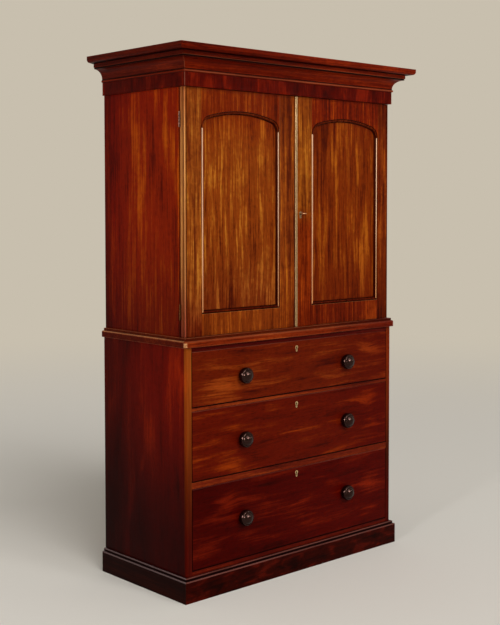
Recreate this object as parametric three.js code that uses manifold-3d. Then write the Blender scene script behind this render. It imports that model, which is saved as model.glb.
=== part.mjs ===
// A linen press in two stages. Below stands a chest of three long drawers on a plinth. Above it is a
// cupboard with four sliding trays behind two doors with arched panels, under a cornice.
// Lengths are in millimetres. X runs to the right, Y to the back and Z up, and the origin is on the
// floor under the middle of the cornice. A depth is measured forwards from the back of the press.
import * as THREE from "three";
import { mergeVertices } from "three/addons/utils/BufferGeometryUtils.js";
import Module from "manifold-3d";

const wasm = await Module();
wasm.setup();

// The two stages
const baseWidth = 1201;
const baseDepth = 538;
const baseSideHeight = 893.4;
const baseSideThickness = 29;
const baseCornerRadius = 10;
const upperSideInset = 8.5;
const upperSetback = 38.5;
const upperSideHeight = 964.9;
const upperSideThickness = 20;
const boardThickness = 18;
const backThickness = 10;

// Clearances
const seatGap = 0.3;
const drawerGap = 1.3;
const meetingGap = 2;
const doorBackGap = 0.7;
const doorEndGap = 1.4;
const doorSideInset = 0.5;
const slideGap = 0.5;
const cutOverrun = 4;
const weldDistance = 0.0001;

// How finely the round forms are divided
const arcSteps = 5;
const turnedSteps = 20;
const pinSteps = 12;

// Plinth
const plinthHeight = 98;
const plinthProjection = 17;
const plinthThickness = 28;
const plinthStepHeight = 12;
const plinthStepInset = 8;
const plinthRound = 4;
const plinthStepRound = 3.5;

// Waist board, which closes the chest and carries the cupboard, with the top rail under it
const waistBandHeight = 27;
const waistStepHeight = 10.5;
const waistProjection = 12;
const waistStepProjection = 1.5;
const waistUpperRound = 7;
const waistLowerRound = 3;
const waistCornerRadius = 11;
const topRailHeight = 17;
const railDepth = 60;

// Dividers under the drawers
const housingDepth = 8;
const upperDividerHeight = 14;
const lowerDividerHeight = 27;
const dustBoardThickness = 12;

// Drawers
const upperDrawerHeight = 216;
const lowerDrawerHeight = 320;
const drawerFrontThickness = 22;
const drawerSideThickness = 12;
const drawerBottomThickness = 8;
const drawerSideDrop = 6;
const drawerBackSpace = 12;

// Knobs: radius and reach from the drawer front, as shares of the knob's radius and reach
const knobRadius = 33;
const knobReach = 44;
const knobSpacing = 600;
const spigotRadius = 8;
const spigotLength = 16;
const upperKnobDrop = 7;
const middleKnobDrop = 4;
const lowerKnobDrop = -4;
const knobProfileShares = [
  [0.66, 0],
  [0.64, 0.05],
  [0.86, 0.085],
  [0.97, 0.16],
  [1, 0.28],
  [1, 0.42],
  [0.96, 0.54],
  [0.86, 0.62],
  [0.76, 0.645],
  [0.69, 0.62],
  [0.62, 0.68],
  [0.53, 0.8],
  [0.38, 0.92],
  [0.2, 0.985],
];

// Keyhole escutcheons of the drawers
const escutcheonHeadRadius = 8;
const escutcheonLegWidth = 9;
const escutcheonHeight = 27;
const escutcheonThickness = 2.5;
const escutcheonProud = 0.6;
const upperLockDrop = 33;
const middleLockDrop = 37;
const lowerLockDrop = 26;
const keyholeHeadRadius = 3;
const keyholeLegWidth = 3.2;
const keyholeHeight = 15;
const keyholeDepth = 12;

// Cornice, from the foot of the frieze up; runs are outward from the frieze face
const corniceHeight = 155;
const corniceProjection = 77;
const friezeHeight = 53;
const friezeThickness = 22;
const ledgeDepth = 68;
const ledgeThickness = 20;
const astragalRadius = 5.5;
const cavettoFoot = 1.5;
const cavettoLift = 2;
const cavettoRun = 39;
const cavettoRise = 40;
const filletFoot = 6.5;
const filletLedge = 3;
const filletHeight = 14;
const soffitLedge = 4;
const soffitRise = 3;
const crownRound = 13;
const corniceBackThickness = 18;

// Doors
const doorThickness = 26;
const leftHingeStileWidth = 83.5;
const leftMeetingStileWidth = 86;
const rightHingeStileWidth = 69.5;
const bottomRailWidth = 86;
const topRailWidth = 80;
const archRise = 74;
const haunchShare = 0.7;
const archBlunt = 1.5;
const stileBeadRadius = 5.5;
const sideBeadRadius = 7.5;
const quirkWidth = 1.5;
const rebateDepth = 14;
const rebateWidth = 8;
const panelThickness = 9;
const beadQuirkWidth = 3;
const beadRadius = 3.5;
const beadBed = 8;
const beadBandWidth = 14;

// Brass strip on the meeting edge of the right door
const stripWidth = 13;
const stripThickness = 3;
const stripChamfer = 1;
const stripEndInset = 1;

// Butt hinges
const hingeLength = 60;
const upperHingeInset = 93;
const lowerHingeInset = 67;
const leafWidth = 18;
const leafThickness = 2;
const barrelRadius = 4.5;
const pinRadius = 2.1;
const pinClearance = 0.3;
const knuckleCount = 5;
const knuckleGap = 0.3;
const leafSetback = 0.9;

// Lock of the right door, its bolt and its key
const lockBackset = 34;
const lockHeightOnDoor = 475;
const lockCaseWidth = 52;
const lockCaseAbove = 24;
const lockCaseBelow = 15;
const lockCaseThickness = 14;
const lockWall = 2.5;
const bushHeadRadius = 9;
const bushLegWidth = 10;
const bushHeight = 30;
const bushProud = 0.5;
const keyShankRadius = 2.6;
const keyPlay = 0.7;
const keyBitReach = 7;
const keyBitThickness = 2.4;
const keyBitPlay = 0.8;
const keyProjection = 24;
const bowLength = 17;
const bowWidth = 22;
const bowRim = 4;
const bowThickness = 4;
const boltHeight = 9;
const boltThickness = 6;
const boltLength = 34;
const boltThrow = 9;
const boltPlay = 0.3;
const keeperPlay = 1;

// Trays, on tongues of their bottom boards in grooves of the cupboard sides
const trayCount = 4;
const trayBottomThickness = 10;
const trayTongue = 6.5;
const grooveDepth = 7;
const trayWallThickness = 10;
const trayFrontThickness = 14;
const traySideHeight = 120;
const trayFrontHeight = 62;
const traySweep = 95;
const trayFrontSpace = 56.9;
const lowestTrayLift = 14;
const traySideSpace = 3;

// Levels and lines that follow from the sizes
const overallDepth = baseDepth + corniceProjection;
const backY = overallDepth / 2;
const baseHalf = baseWidth / 2;
const upperHalf = baseHalf - upperSideInset;
const upperDepth = baseDepth - upperSetback;
const baseBottom = plinthHeight + seatGap;
const baseTop = baseBottom + baseSideHeight;
const waistBottom = baseTop + seatGap;
const waistTop = waistBottom + waistBandHeight + waistStepHeight;
const upperBottom = waistTop + seatGap;
const upperTop = upperBottom + upperSideHeight;
const corniceBottom = upperTop + seatGap;
const baseInner = baseHalf - baseSideThickness;
const upperInner = upperHalf - upperSideThickness;
const doorBack = upperDepth + doorBackGap;
const doorFace = doorBack + doorThickness;
const doorBottom = waistTop + doorEndGap;
const doorTop = corniceBottom - doorEndGap;
const doorOuter = upperHalf - doorSideInset;
const panelOpeningWidth = doorOuter - leftHingeStileWidth - leftMeetingStileWidth - meetingGap / 2;
const drawerBoxBack = backThickness + drawerBackSpace;

// Finishes: colour, roughness and metalness
const finishes = {
  doorMahogany: ["#8c4a1e", 0.32, 0],
  redMahogany: ["#6e2a14", 0.32, 0],
  darkMahogany: ["#4a1a12", 0.34, 0],
  plinthMahogany: ["#32100c", 0.34, 0],
  ebonised: ["#1c100d", 0.2, 0],
  trayWood: ["#a5693a", 0.55, 0],
  backPine: ["#8f6238", 0.7, 0],
  brass: ["#c2a566", 0.3, 1],
  agedBrass: ["#8d6d3e", 0.4, 1],
  steel: ["#6b655c", 0.45, 1],
};

const press = new THREE.Group();

// Puts a finished solid into the press under its own name, with a material of its own.
function add(name, finish, geometry) {
  const [color, roughness, metalness] = finishes[finish];
  const material = new THREE.MeshStandardMaterial({ color, roughness, metalness });
  const mesh = new THREE.Mesh(geometry, material);
  mesh.name = name;
  press.add(mesh);
  return mesh;
}

// Joining and cutting
function toSolid(geometry) {
  const bare = geometry.index ? geometry.toNonIndexed() : geometry.clone();
  bare.deleteAttribute("normal");
  bare.deleteAttribute("uv");
  const merged = mergeVertices(bare, weldDistance);
  return new wasm.Manifold(
    new wasm.Mesh({
      numProp: 3,
      vertProperties: merged.attributes.position.array,
      triVerts: new Uint32Array(merged.index.array),
    }),
  );
}

function toGeometry(solid) {
  const mesh = solid.getMesh();
  const geometry = new THREE.BufferGeometry();
  geometry.setAttribute("position", new THREE.BufferAttribute(new Float32Array(mesh.vertProperties), 3));
  geometry.setIndex(new THREE.BufferAttribute(new Uint32Array(mesh.triVerts), 1));
  return geometry;
}

function cut(body, ...tools) {
  return toGeometry(tools.reduce((solid, tool) => solid.subtract(toSolid(tool)), toSolid(body)));
}

function join(body, ...others) {
  return toGeometry(others.reduce((solid, other) => solid.add(toSolid(other)), toSolid(body)));
}

function common(body, ...others) {
  return toGeometry(others.reduce((solid, other) => solid.intersect(toSolid(other)), toSolid(body)));
}

// Turns the faces of a closed surface outwards if they point in.
function faceOut(geometry) {
  const surface = geometry.index ? geometry.toNonIndexed() : geometry;
  const position = surface.getAttribute("position");
  const corners = [new THREE.Vector3(), new THREE.Vector3(), new THREE.Vector3()];
  let volume = 0;
  for (let i = 0; i < position.count; i += 3) {
    corners.forEach((corner, k) => corner.fromBufferAttribute(position, i + k));
    volume += corners[0].dot(corners[1].cross(corners[2]));
  }
  if (volume > 0) return surface;
  for (let i = 0; i < position.count; i += 3) {
    const second = new THREE.Vector3().fromBufferAttribute(position, i + 1);
    const third = new THREE.Vector3().fromBufferAttribute(position, i + 2);
    position.setXYZ(i + 1, ...third);
    position.setXYZ(i + 2, ...second);
  }
  return surface;
}

// Carries an outline from one end of a run (0) to the other (1); place says where a point of it lies.
function run(outline, place) {
  const surface = new THREE.ExtrudeGeometry(outline, {
    depth: 1,
    steps: 1,
    bevelEnabled: false,
    curveSegments: arcSteps,
  });
  const position = surface.getAttribute("position");
  for (let i = 0; i < position.count; i += 1) {
    position.setXYZ(i, ...place(position.getX(i), position.getY(i), position.getZ(i)));
  }
  return faceOut(surface);
}

// An outline of X and depth, carried up from one level to another.
function upright(outline, low, high) {
  return run(outline, (x, depth, end) => [x, backY - depth, low + end * (high - low)]);
}

// An outline of X and height, carried forwards from one depth to another.
function facing(outline, near, far) {
  return run(outline, (x, z, end) => [x, backY - near - end * (far - near), z]);
}

// An outline of depth and height, carried along X.
function sideways(outline, from, to) {
  return run(outline, (depth, z, end) => [from + end * (to - from), backY - depth, z]);
}

// A plain board; x, depth and z are pairs of limits, in either order.
function block(x, depth, z) {
  const surface = new THREE.BoxGeometry(
    Math.abs(x[1] - x[0]),
    Math.abs(depth[1] - depth[0]),
    Math.abs(z[1] - z[0]),
  );
  return surface.translate((x[0] + x[1]) / 2, backY - (depth[0] + depth[1]) / 2, (z[0] + z[1]) / 2);
}

// A round bar that points forwards from one depth to another.
function frontBar(x, z, radius, near, far, steps) {
  const surface = new THREE.CylinderGeometry(radius, radius, far - near, steps);
  return surface.translate(x, backY - (near + far) / 2, z);
}

// A round bar that stands upright.
function standingBar(x, depth, radius, low, high, steps) {
  const surface = new THREE.CylinderGeometry(radius, radius, high - low, steps);
  return surface.rotateX(Math.PI / 2).translate(x, backY - depth, (low + high) / 2);
}

const sides = [
  { side: -1, hand: "left" },
  { side: 1, hand: "right" },
];

// Mouldings of the plinth and the cornice: one outline of outward run and height round three sides,
// mitred at the two front corners.
function mitredSet(name, finish, outline, level) {
  const front = run(outline, (out, up, end) => [
    THREE.MathUtils.lerp(-baseHalf - out, baseHalf + out, end),
    backY - baseDepth - out,
    level + up,
  ]);
  add(name + "_front", finish, front);
  for (const { side, hand } of sides) {
    const back = run(outline, (out, up, end) => [
      side * (baseHalf + out),
      backY - end * (baseDepth + out - seatGap),
      level + up,
    ]);
    add(name + "_" + hand, finish, back);
  }
}

// Plinth
const plinthOutline = new THREE.Shape();
const plinthShoulder = plinthHeight - plinthStepHeight;
const plinthStepRun = plinthProjection - plinthStepInset;
plinthOutline.moveTo(plinthProjection - plinthThickness, 0);
plinthOutline.lineTo(plinthProjection, 0);
plinthOutline.absarc(
  plinthProjection - plinthRound,
  plinthShoulder - plinthRound,
  plinthRound,
  0,
  Math.PI / 2,
  false,
);
plinthOutline.lineTo(plinthStepRun, plinthShoulder);
plinthOutline.absarc(
  plinthStepRun - plinthStepRound,
  plinthHeight - plinthStepRound,
  plinthStepRound,
  0,
  Math.PI / 2,
  false,
);
plinthOutline.lineTo(plinthProjection - plinthThickness, plinthHeight);
mitredSet("plinth", "plinthMahogany", plinthOutline, 0);

// Base carcase: dividers in housings of the sides, drawer openings between them
const openingTop = waistBottom - topRailHeight;
const upperDividerTop = openingTop - 2 * drawerGap - upperDrawerHeight;
const lowerDrawerBottom = baseBottom + boardThickness + drawerGap;
const lowerDividerBottom = lowerDrawerBottom + lowerDrawerHeight + drawerGap;
const lowerDividerTop = lowerDividerBottom + lowerDividerHeight;
const upperDividerBottom = upperDividerTop - upperDividerHeight;
const housedHalf = baseInner + housingDepth - seatGap;

for (const { side, hand } of sides) {
  const plan = new THREE.Shape();
  plan.moveTo(side * baseInner, 0);
  plan.lineTo(side * baseHalf, 0);
  plan.absarc(
    side * (baseHalf - baseCornerRadius),
    baseDepth - baseCornerRadius,
    baseCornerRadius,
    side > 0 ? 0 : Math.PI,
    Math.PI / 2,
    side < 0,
  );
  plan.lineTo(side * baseInner, baseDepth);
  const housings = [
    [baseBottom - cutOverrun, baseBottom + boardThickness + seatGap],
    [lowerDividerTop - dustBoardThickness - seatGap, lowerDividerTop + seatGap],
    [upperDividerTop - dustBoardThickness - seatGap, upperDividerTop + seatGap],
  ].map((levels) =>
    block(
      [side * (baseInner - cutOverrun), side * (baseInner + housingDepth)],
      [backThickness, baseDepth - railDepth],
      levels,
    ),
  );
  add("base_" + hand + "_side", "redMahogany", cut(upright(plan, baseBottom, baseTop), ...housings));
}

// A board housed in the base sides behind a rail that stands between them at the front.
function housedBoard(name, top, railHeight, thickness) {
  const butted = baseInner - seatGap;
  const rail = block([-butted, butted], [baseDepth - railDepth, baseDepth], [top - railHeight, top]);
  const board = block(
    [-housedHalf, housedHalf],
    [backThickness + seatGap, baseDepth - railDepth - seatGap],
    [top - thickness, top],
  );
  const bridge = block(
    [-butted, butted],
    [baseDepth - railDepth - cutOverrun, baseDepth - railDepth + cutOverrun],
    [top - thickness, top],
  );
  add(name, "darkMahogany", join(rail, board, bridge));
}
housedBoard("base_bottom", baseBottom + boardThickness, boardThickness, boardThickness);
housedBoard("lower_drawer_divider", lowerDividerTop, lowerDividerHeight, dustBoardThickness);
housedBoard("upper_drawer_divider", upperDividerTop, upperDividerHeight, dustBoardThickness);
add(
  "base_back",
  "backPine",
  block([-baseInner + seatGap, baseInner - seatGap], [0, backThickness], [baseBottom, baseTop]),
);

// Waist board: its moulded edge is the same outline at the front and at both ends
function waistEdge(shape, run0, run1) {
  const band = run1 + waistProjection;
  const step = run1 + waistStepProjection;
  const bandTop = waistBottom + waistBandHeight;
  shape.moveTo(run0, waistBottom);
  shape.lineTo(band - waistLowerRound, waistBottom);
  shape.absarc(
    band - waistLowerRound,
    waistBottom + waistLowerRound,
    waistLowerRound,
    -Math.PI / 2,
    0,
    false,
  );
  shape.absarc(band - waistUpperRound, bandTop - waistUpperRound, waistUpperRound, 0, Math.PI / 2, false);
  shape.lineTo(step, bandTop);
  shape.lineTo(step, waistTop);
  shape.lineTo(run0, waistTop);
  return shape;
}
const waistHalf = baseHalf + waistProjection;
const waistFront = sideways(waistEdge(new THREE.Shape(), 0, baseDepth), -waistHalf, waistHalf);
const waistEnds = sides.map(({ side }) =>
  run(waistEdge(new THREE.Shape(), -cutOverrun, baseHalf), (x, z, end) => [
    side * x,
    backY - end * (baseDepth + waistProjection),
    z,
  ]),
);
const waistPlan = new THREE.Shape();
waistPlan.moveTo(-waistHalf, -cutOverrun);
waistPlan.lineTo(waistHalf, -cutOverrun);
const cornerX = waistHalf - waistCornerRadius;
const cornerDepth = baseDepth + waistProjection - waistCornerRadius;
waistPlan.absarc(cornerX, cornerDepth, waistCornerRadius, 0, Math.PI / 2, false);
waistPlan.absarc(-cornerX, cornerDepth, waistCornerRadius, Math.PI / 2, Math.PI, false);
const topRail = block(
  [-baseInner + seatGap, baseInner - seatGap],
  [baseDepth - railDepth, baseDepth],
  [openingTop, waistBottom + waistLowerRound],
);
const waistCorners = upright(waistPlan, waistBottom - cutOverrun, waistTop + cutOverrun);
add("waist_board", "redMahogany", join(common(waistFront, join(...waistEnds), waistCorners), topRail));

// Drawers
function keyholeOutline(x, z, headRadius, legWidth, height, grow) {
  const head = headRadius + grow;
  const leg = legWidth / 2 + grow;
  const headZ = z + height / 2 - headRadius;
  const footZ = z - height / 2 + legWidth / 2;
  const meet = Math.acos(leg / head);
  const shape = new THREE.Shape();
  shape.absarc(x, headZ, head, -meet, Math.PI + meet, false);
  shape.absarc(x, footZ, leg, Math.PI, 2 * Math.PI, false);
  return shape;
}

function knobProfile() {
  const points = [
    new THREE.Vector2(0, -spigotLength),
    new THREE.Vector2(spigotRadius, -spigotLength),
    new THREE.Vector2(spigotRadius, seatGap),
  ];
  for (const [radiusShare, reachShare] of knobProfileShares) {
    const reach = seatGap + reachShare * (knobReach - seatGap);
    points.push(new THREE.Vector2(radiusShare * knobRadius, reach));
  }
  points.push(new THREE.Vector2(0, knobReach));
  return points;
}

function drawer(number, low, height, lockDrop, knobDrop) {
  const name = "drawer_" + number;
  const half = baseInner - drawerGap;
  const high = low + height;
  const middle = (low + high) / 2 - knobDrop;
  const front = [baseDepth - drawerFrontThickness, baseDepth];
  const holeZ = high - lockDrop;
  const holes = sides.map(({ side }) =>
    frontBar(
      (side * knobSpacing) / 2,
      middle,
      spigotRadius + seatGap,
      baseDepth - spigotLength - seatGap,
      baseDepth + cutOverrun,
      pinSteps,
    ),
  );
  const pocket = facing(
    keyholeOutline(0, holeZ, escutcheonHeadRadius, escutcheonLegWidth, escutcheonHeight, seatGap),
    baseDepth + escutcheonProud - escutcheonThickness - seatGap,
    baseDepth + cutOverrun,
  );
  const keyhole = facing(
    keyholeOutline(0, holeZ, keyholeHeadRadius, keyholeLegWidth, keyholeHeight, 0),
    baseDepth - keyholeDepth,
    baseDepth + cutOverrun,
  );
  const frontBoard = block([-half, half], front, [low, high]);
  add(name + "_front", "redMahogany", cut(frontBoard, ...holes, pocket, keyhole));

  // The box stands on the board below its front; its sides and back rise a little less than the front.
  const boxLow = low - drawerGap + slideGap;
  const boxHigh = high - drawerSideDrop;
  const boxFront = front[0] - seatGap;
  const box = block([-half, half], [drawerBoxBack, boxFront], [boxLow, boxHigh]);
  const inside = block(
    [drawerSideThickness - half, half - drawerSideThickness],
    [drawerBoxBack + drawerSideThickness, boxFront + cutOverrun],
    [boxLow + drawerBottomThickness, boxHigh + cutOverrun],
  );
  add(name + "_box", "trayWood", cut(box, inside));

  const escutcheon = facing(
    keyholeOutline(0, holeZ, escutcheonHeadRadius, escutcheonLegWidth, escutcheonHeight, 0),
    baseDepth + escutcheonProud - escutcheonThickness,
    baseDepth + escutcheonProud,
  );
  add(name + "_escutcheon", "brass", cut(escutcheon, keyhole));

  for (const { side, hand } of sides) {
    const turned = faceOut(new THREE.LatheGeometry(knobProfile(), turnedSteps).rotateX(Math.PI));
    const knob = add(name + "_" + hand + "_knob", "ebonised", turned);
    knob.position.set((side * knobSpacing) / 2, backY - baseDepth, middle);
  }
}
const middleDrawerHeight = upperDividerBottom - lowerDividerTop - 2 * drawerGap;
drawer(1, upperDividerTop + drawerGap, upperDrawerHeight, upperLockDrop, upperKnobDrop);
drawer(2, lowerDividerTop + drawerGap, middleDrawerHeight, middleLockDrop, middleKnobDrop);
drawer(3, lowerDrawerBottom, lowerDrawerHeight, lowerLockDrop, lowerKnobDrop);

// Trays rest at the back of the cupboard and can be pushed no further in
const trayPitch = (upperSideHeight - 2 * boardThickness) / trayCount;
const trayBack = backThickness + 2 * seatGap;
const trayFront = upperDepth - trayFrontSpace;
const trayLevels = Array.from(
  { length: trayCount },
  (_, i) => upperBottom + boardThickness + lowestTrayLift + i * trayPitch,
);
const grooveHeight = trayBottomThickness + 2 * seatGap;

function tray(number, low) {
  const wallHalf = upperInner - traySideSpace;
  const floorTop = low + trayBottomThickness;
  const tongueHalf = upperInner + trayTongue;
  const bottom = block([-tongueHalf, tongueHalf], [trayBack, trayFront], [low, floorTop]);
  const outline = new THREE.Shape();
  outline.moveTo(trayBack, low);
  outline.lineTo(trayFront, low);
  outline.lineTo(trayFront, low + trayFrontHeight);
  outline.bezierCurveTo(
    trayFront - traySweep / 2,
    low + trayFrontHeight,
    trayFront - traySweep / 2,
    low + traySideHeight,
    trayFront - traySweep,
    low + traySideHeight,
  );
  outline.lineTo(trayBack, low + traySideHeight);
  const walls = sides.map(({ side }) =>
    sideways(outline, side * (wallHalf - trayWallThickness), side * wallHalf),
  );
  const frontBoard = block(
    [-wallHalf, wallHalf],
    [trayFront - trayFrontThickness, trayFront],
    [low, low + trayFrontHeight],
  );
  const backBoard = block(
    [-wallHalf, wallHalf],
    [trayBack, trayBack + trayWallThickness],
    [low, low + traySideHeight],
  );
  add("tray_" + number, "trayWood", join(bottom, ...walls, frontBoard, backBoard));
}
trayLevels.forEach((low, i) => tray(trayCount - i, low));

// Hinge places, shared by the cupboard sides, the door stiles and the hinges
const hingeSpots = [
  { level: "upper", low: doorTop - upperHingeInset - hingeLength },
  { level: "lower", low: doorBottom + lowerHingeInset },
];
const hingeAxisX = upperHalf + barrelRadius + leafSetback / 2;
const hingeAxisDepth = upperDepth + doorBackGap / 2;

// Draws a bead round an outer corner with a quirk behind it, and one before it where it stops there.
function cornerBead(plan, side, outer, face, radius, quirkInFront) {
  const centreX = outer - radius;
  const centreDepth = face - radius;
  const quirkReach = radius * Math.SQRT1_2;
  const stop = quirkInFront ? (3 * Math.PI) / 4 : Math.PI / 2;
  plan.lineTo(side * outer, centreDepth - quirkReach - quirkWidth);
  for (let i = 0; i <= 2 * arcSteps; i += 1) {
    const turn = -Math.PI / 4 + (i / (2 * arcSteps)) * (stop + Math.PI / 4);
    plan.lineTo(side * (centreX + radius * Math.cos(turn)), centreDepth + radius * Math.sin(turn));
  }
  if (quirkInFront) plan.lineTo(side * (centreX - quirkReach - quirkWidth), face);
}

// Upper carcase: its sides have a bead along the front edge, in line with the hinge knuckles
for (const { side, hand } of sides) {
  const plan = new THREE.Shape();
  plan.moveTo(side * upperInner, 0);
  plan.lineTo(side * upperHalf, 0);
  cornerBead(plan, side, upperHalf, upperDepth, sideBeadRadius, false);
  plan.lineTo(side * upperInner, upperDepth);
  const pockets = hingeSpots.map(({ low }) =>
    block(
      [side * (upperHalf - leafWidth - seatGap), side * (upperHalf + cutOverrun)],
      [upperDepth - leafThickness - seatGap, upperDepth + cutOverrun],
      [low - seatGap, low + hingeLength + seatGap],
    ),
  );
  const grooves = trayLevels.map((low) =>
    block(
      [side * (upperInner - cutOverrun), side * (upperInner + grooveDepth)],
      [backThickness, upperDepth + cutOverrun],
      [low - seatGap, low - seatGap + grooveHeight],
    ),
  );
  const board = upright(plan, upperBottom, upperTop);
  add("upper_" + hand + "_side", "redMahogany", cut(board, ...pockets, ...grooves));
}
const upperFit = upperInner - seatGap;
add(
  "upper_bottom",
  "darkMahogany",
  block(
    [-upperFit, upperFit],
    [backThickness + seatGap, upperDepth],
    [upperBottom, upperBottom + boardThickness],
  ),
);
add(
  "upper_top",
  "darkMahogany",
  block([-upperFit, upperFit], [backThickness + seatGap, upperDepth], [upperTop - boardThickness, upperTop]),
);
add("upper_back", "backPine", block([-upperFit, upperFit], [0, backThickness], [upperBottom, upperTop]));

// Doors
const openingBottom = doorBottom + bottomRailWidth;
const archTop = doorTop - topRailWidth;
const archSpring = archTop - archRise;
const openingHalf = panelOpeningWidth / 2;
const haunchRadius = archRise * haunchShare;
const haunchReach = openingHalf - haunchRadius;
const crownRadius = (haunchReach ** 2 + archRise ** 2 - haunchRadius ** 2) / (2 * (archRise - haunchRadius));
const haunchAngle = Math.atan2(crownRadius - archRise, haunchReach);
const rebateFront = doorBack + rebateDepth;
const lockZ = doorBottom + lockHeightOnDoor;
const lockX = lockBackset;

// The outline of a door's opening, drawn in from its edge by an inset; the arch has three centres.
function archPoints(centre, inset) {
  const half = openingHalf - inset;
  const points = [
    new THREE.Vector2(centre - half, openingBottom + inset),
    new THREE.Vector2(centre + half, openingBottom + inset),
  ];
  const arcs = [
    [centre + haunchReach, archSpring, haunchRadius, 0, haunchAngle],
    [centre, archTop - crownRadius, crownRadius, haunchAngle, Math.PI - haunchAngle],
    [centre - haunchReach, archSpring, haunchRadius, Math.PI - haunchAngle, Math.PI],
  ];
  arcs.forEach(([arcX, arcZ, radius, from, to], k) => {
    for (let i = k ? 1 : 0; i <= 2 * arcSteps; i += 1) {
      const turn = THREE.MathUtils.lerp(from, to, i / (2 * arcSteps));
      const reach = radius - inset;
      points.push(new THREE.Vector2(arcX + reach * Math.cos(turn), arcZ + reach * Math.sin(turn)));
    }
  });
  return points;
}

// Joins loops of equally many points, one after another and the last to the first, into a closed ring.
function ring(loops) {
  const count = loops[0].length;
  const points = [];
  for (let i = 0; i < loops.length; i += 1) {
    const next = loops[(i + 1) % loops.length];
    for (let k = 0; k < count; k += 1) {
      const far = (k + 1) % count;
      points.push(loops[i][k], loops[i][far], next[far], loops[i][k], next[far], next[k]);
    }
  }
  return faceOut(new THREE.BufferGeometry().setFromPoints(points));
}

// The moulding round a panel: a quirk next to the frame, a round bead, and a fall to the panel.
function panelMoulding(centre, fieldDepth) {
  const beadCentre = beadQuirkWidth + beadRadius;
  const profile = [
    [seatGap, -panelThickness / 2],
    [seatGap, beadBed],
    [beadQuirkWidth, beadBed],
  ];
  for (let i = 1; i <= arcSteps; i += 1) {
    const turn = (Math.PI * i) / (arcSteps + 1);
    profile.push([beadCentre - beadRadius * Math.cos(turn), beadBed + beadRadius * Math.sin(turn)]);
  }
  profile.push([beadCentre + beadRadius, beadBed], [beadBandWidth, 0], [beadBandWidth, -panelThickness / 2]);
  return ring(
    profile.map(([inset, rise]) =>
      archPoints(centre, inset).map(
        (point) => new THREE.Vector3(point.x, backY - fieldDepth - rise, point.y),
      ),
    ),
  );
}

function door({ side, hand }) {
  const hingeStileWidth = side < 0 ? leftHingeStileWidth : rightHingeStileWidth;
  const hingeLine = doorOuter - hingeStileWidth;
  const meetingLine = hingeLine - panelOpeningWidth;
  const centre = side * (hingeLine - openingHalf);
  const rebateLevels = [openingBottom - rebateWidth, archTop + rebateWidth];
  const rebateBack = [doorBack - cutOverrun, rebateFront];

  // Hinge stile, with a bead between two quirks along the outer corner
  const plan = new THREE.Shape();
  plan.moveTo(side * hingeLine, doorBack);
  plan.lineTo(side * doorOuter, doorBack);
  cornerBead(plan, side, doorOuter, doorFace, stileBeadRadius, true);
  plan.lineTo(side * hingeLine, doorFace);
  const pockets = hingeSpots.map(({ low }) =>
    block(
      [side * (upperHalf - leafWidth - seatGap), side * (upperHalf + cutOverrun)],
      [doorBack - cutOverrun, doorBack + leafThickness + seatGap],
      [low - seatGap, low + hingeLength + seatGap],
    ),
  );
  const hingeRebate = block(
    [side * (hingeLine - cutOverrun), side * (hingeLine + rebateWidth)],
    rebateBack,
    rebateLevels,
  );
  add(
    hand + "_door_hinge_stile",
    "doorMahogany",
    cut(upright(plan, doorBottom, doorTop), ...pockets, hingeRebate),
  );

  // Meeting stile, pierced on the right for the lock and notched on the left for its bolt
  const meetingStile = block(
    [(side * meetingGap) / 2, side * meetingLine],
    [doorBack, doorFace],
    [doorBottom, doorTop],
  );
  const meetingRebate = block(
    [side * (meetingLine + cutOverrun), side * (meetingLine - rebateWidth)],
    rebateBack,
    rebateLevels,
  );
  const lockCuts = side > 0 ? lockPockets() : [boltNotch()];
  add(hand + "_door_meeting_stile", "doorMahogany", cut(meetingStile, meetingRebate, ...lockCuts));

  // Rails stand between the stiles; the arch is cut in the upper one
  const between = [side * (meetingLine + seatGap), side * (hingeLine - seatGap)];
  const toeRise = Math.sqrt(haunchRadius ** 2 - (haunchRadius - archBlunt) ** 2);
  const railRebate = [side * (meetingLine - cutOverrun), side * (hingeLine + cutOverrun)];
  add(
    hand + "_door_top_rail",
    "doorMahogany",
    cut(
      block(between, [doorBack, doorFace], [archSpring + toeRise, doorTop]),
      facing(new THREE.Shape(archPoints(centre, 0)), doorBack - cutOverrun, doorFace + cutOverrun),
      block(railRebate, rebateBack, [archSpring, archTop + rebateWidth]),
    ),
  );
  add(
    hand + "_door_bottom_rail",
    "doorMahogany",
    cut(
      block(between, [doorBack, doorFace], [doorBottom, openingBottom]),
      block(railRebate, rebateBack, [openingBottom - rebateWidth, openingBottom + cutOverrun]),
    ),
  );

  // Panel in its rebate, with the moulding that frames it
  const lap = rebateWidth - seatGap;
  const field = rebateFront - seatGap;
  const plate = block(
    [side * (meetingLine - lap), side * (hingeLine + lap)],
    [field - panelThickness, field],
    [openingBottom - lap, archTop + lap],
  );
  add(hand + "_door_panel", "doorMahogany", join(plate, panelMoulding(centre, field)));
}

// Places in the right door for the lock case, its bush and the key
const caseBack = doorBack + seatGap;
const caseFront = caseBack + lockCaseThickness;
const caseInner = lockX + lockCaseWidth - lockBackset;
const boltDepths = [caseBack + lockWall, caseBack + lockWall + boltThickness];
const boltLow = lockZ + keyBitReach + keyBitPlay;
const edgeX = meetingGap / 2;

function bushOutline(grow) {
  const middle = lockZ + bushHeadRadius - bushHeight / 2;
  return keyholeOutline(lockX, middle, bushHeadRadius, bushLegWidth, bushHeight, grow);
}

function lockPockets() {
  return [
    block(
      [edgeX - cutOverrun, caseInner + seatGap],
      [doorBack - cutOverrun, caseFront + seatGap],
      [lockZ - lockCaseBelow - seatGap, lockZ + lockCaseAbove + seatGap],
    ),
    facing(bushOutline(seatGap), caseFront - lockWall - seatGap, doorFace + cutOverrun),
  ];
}

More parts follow.
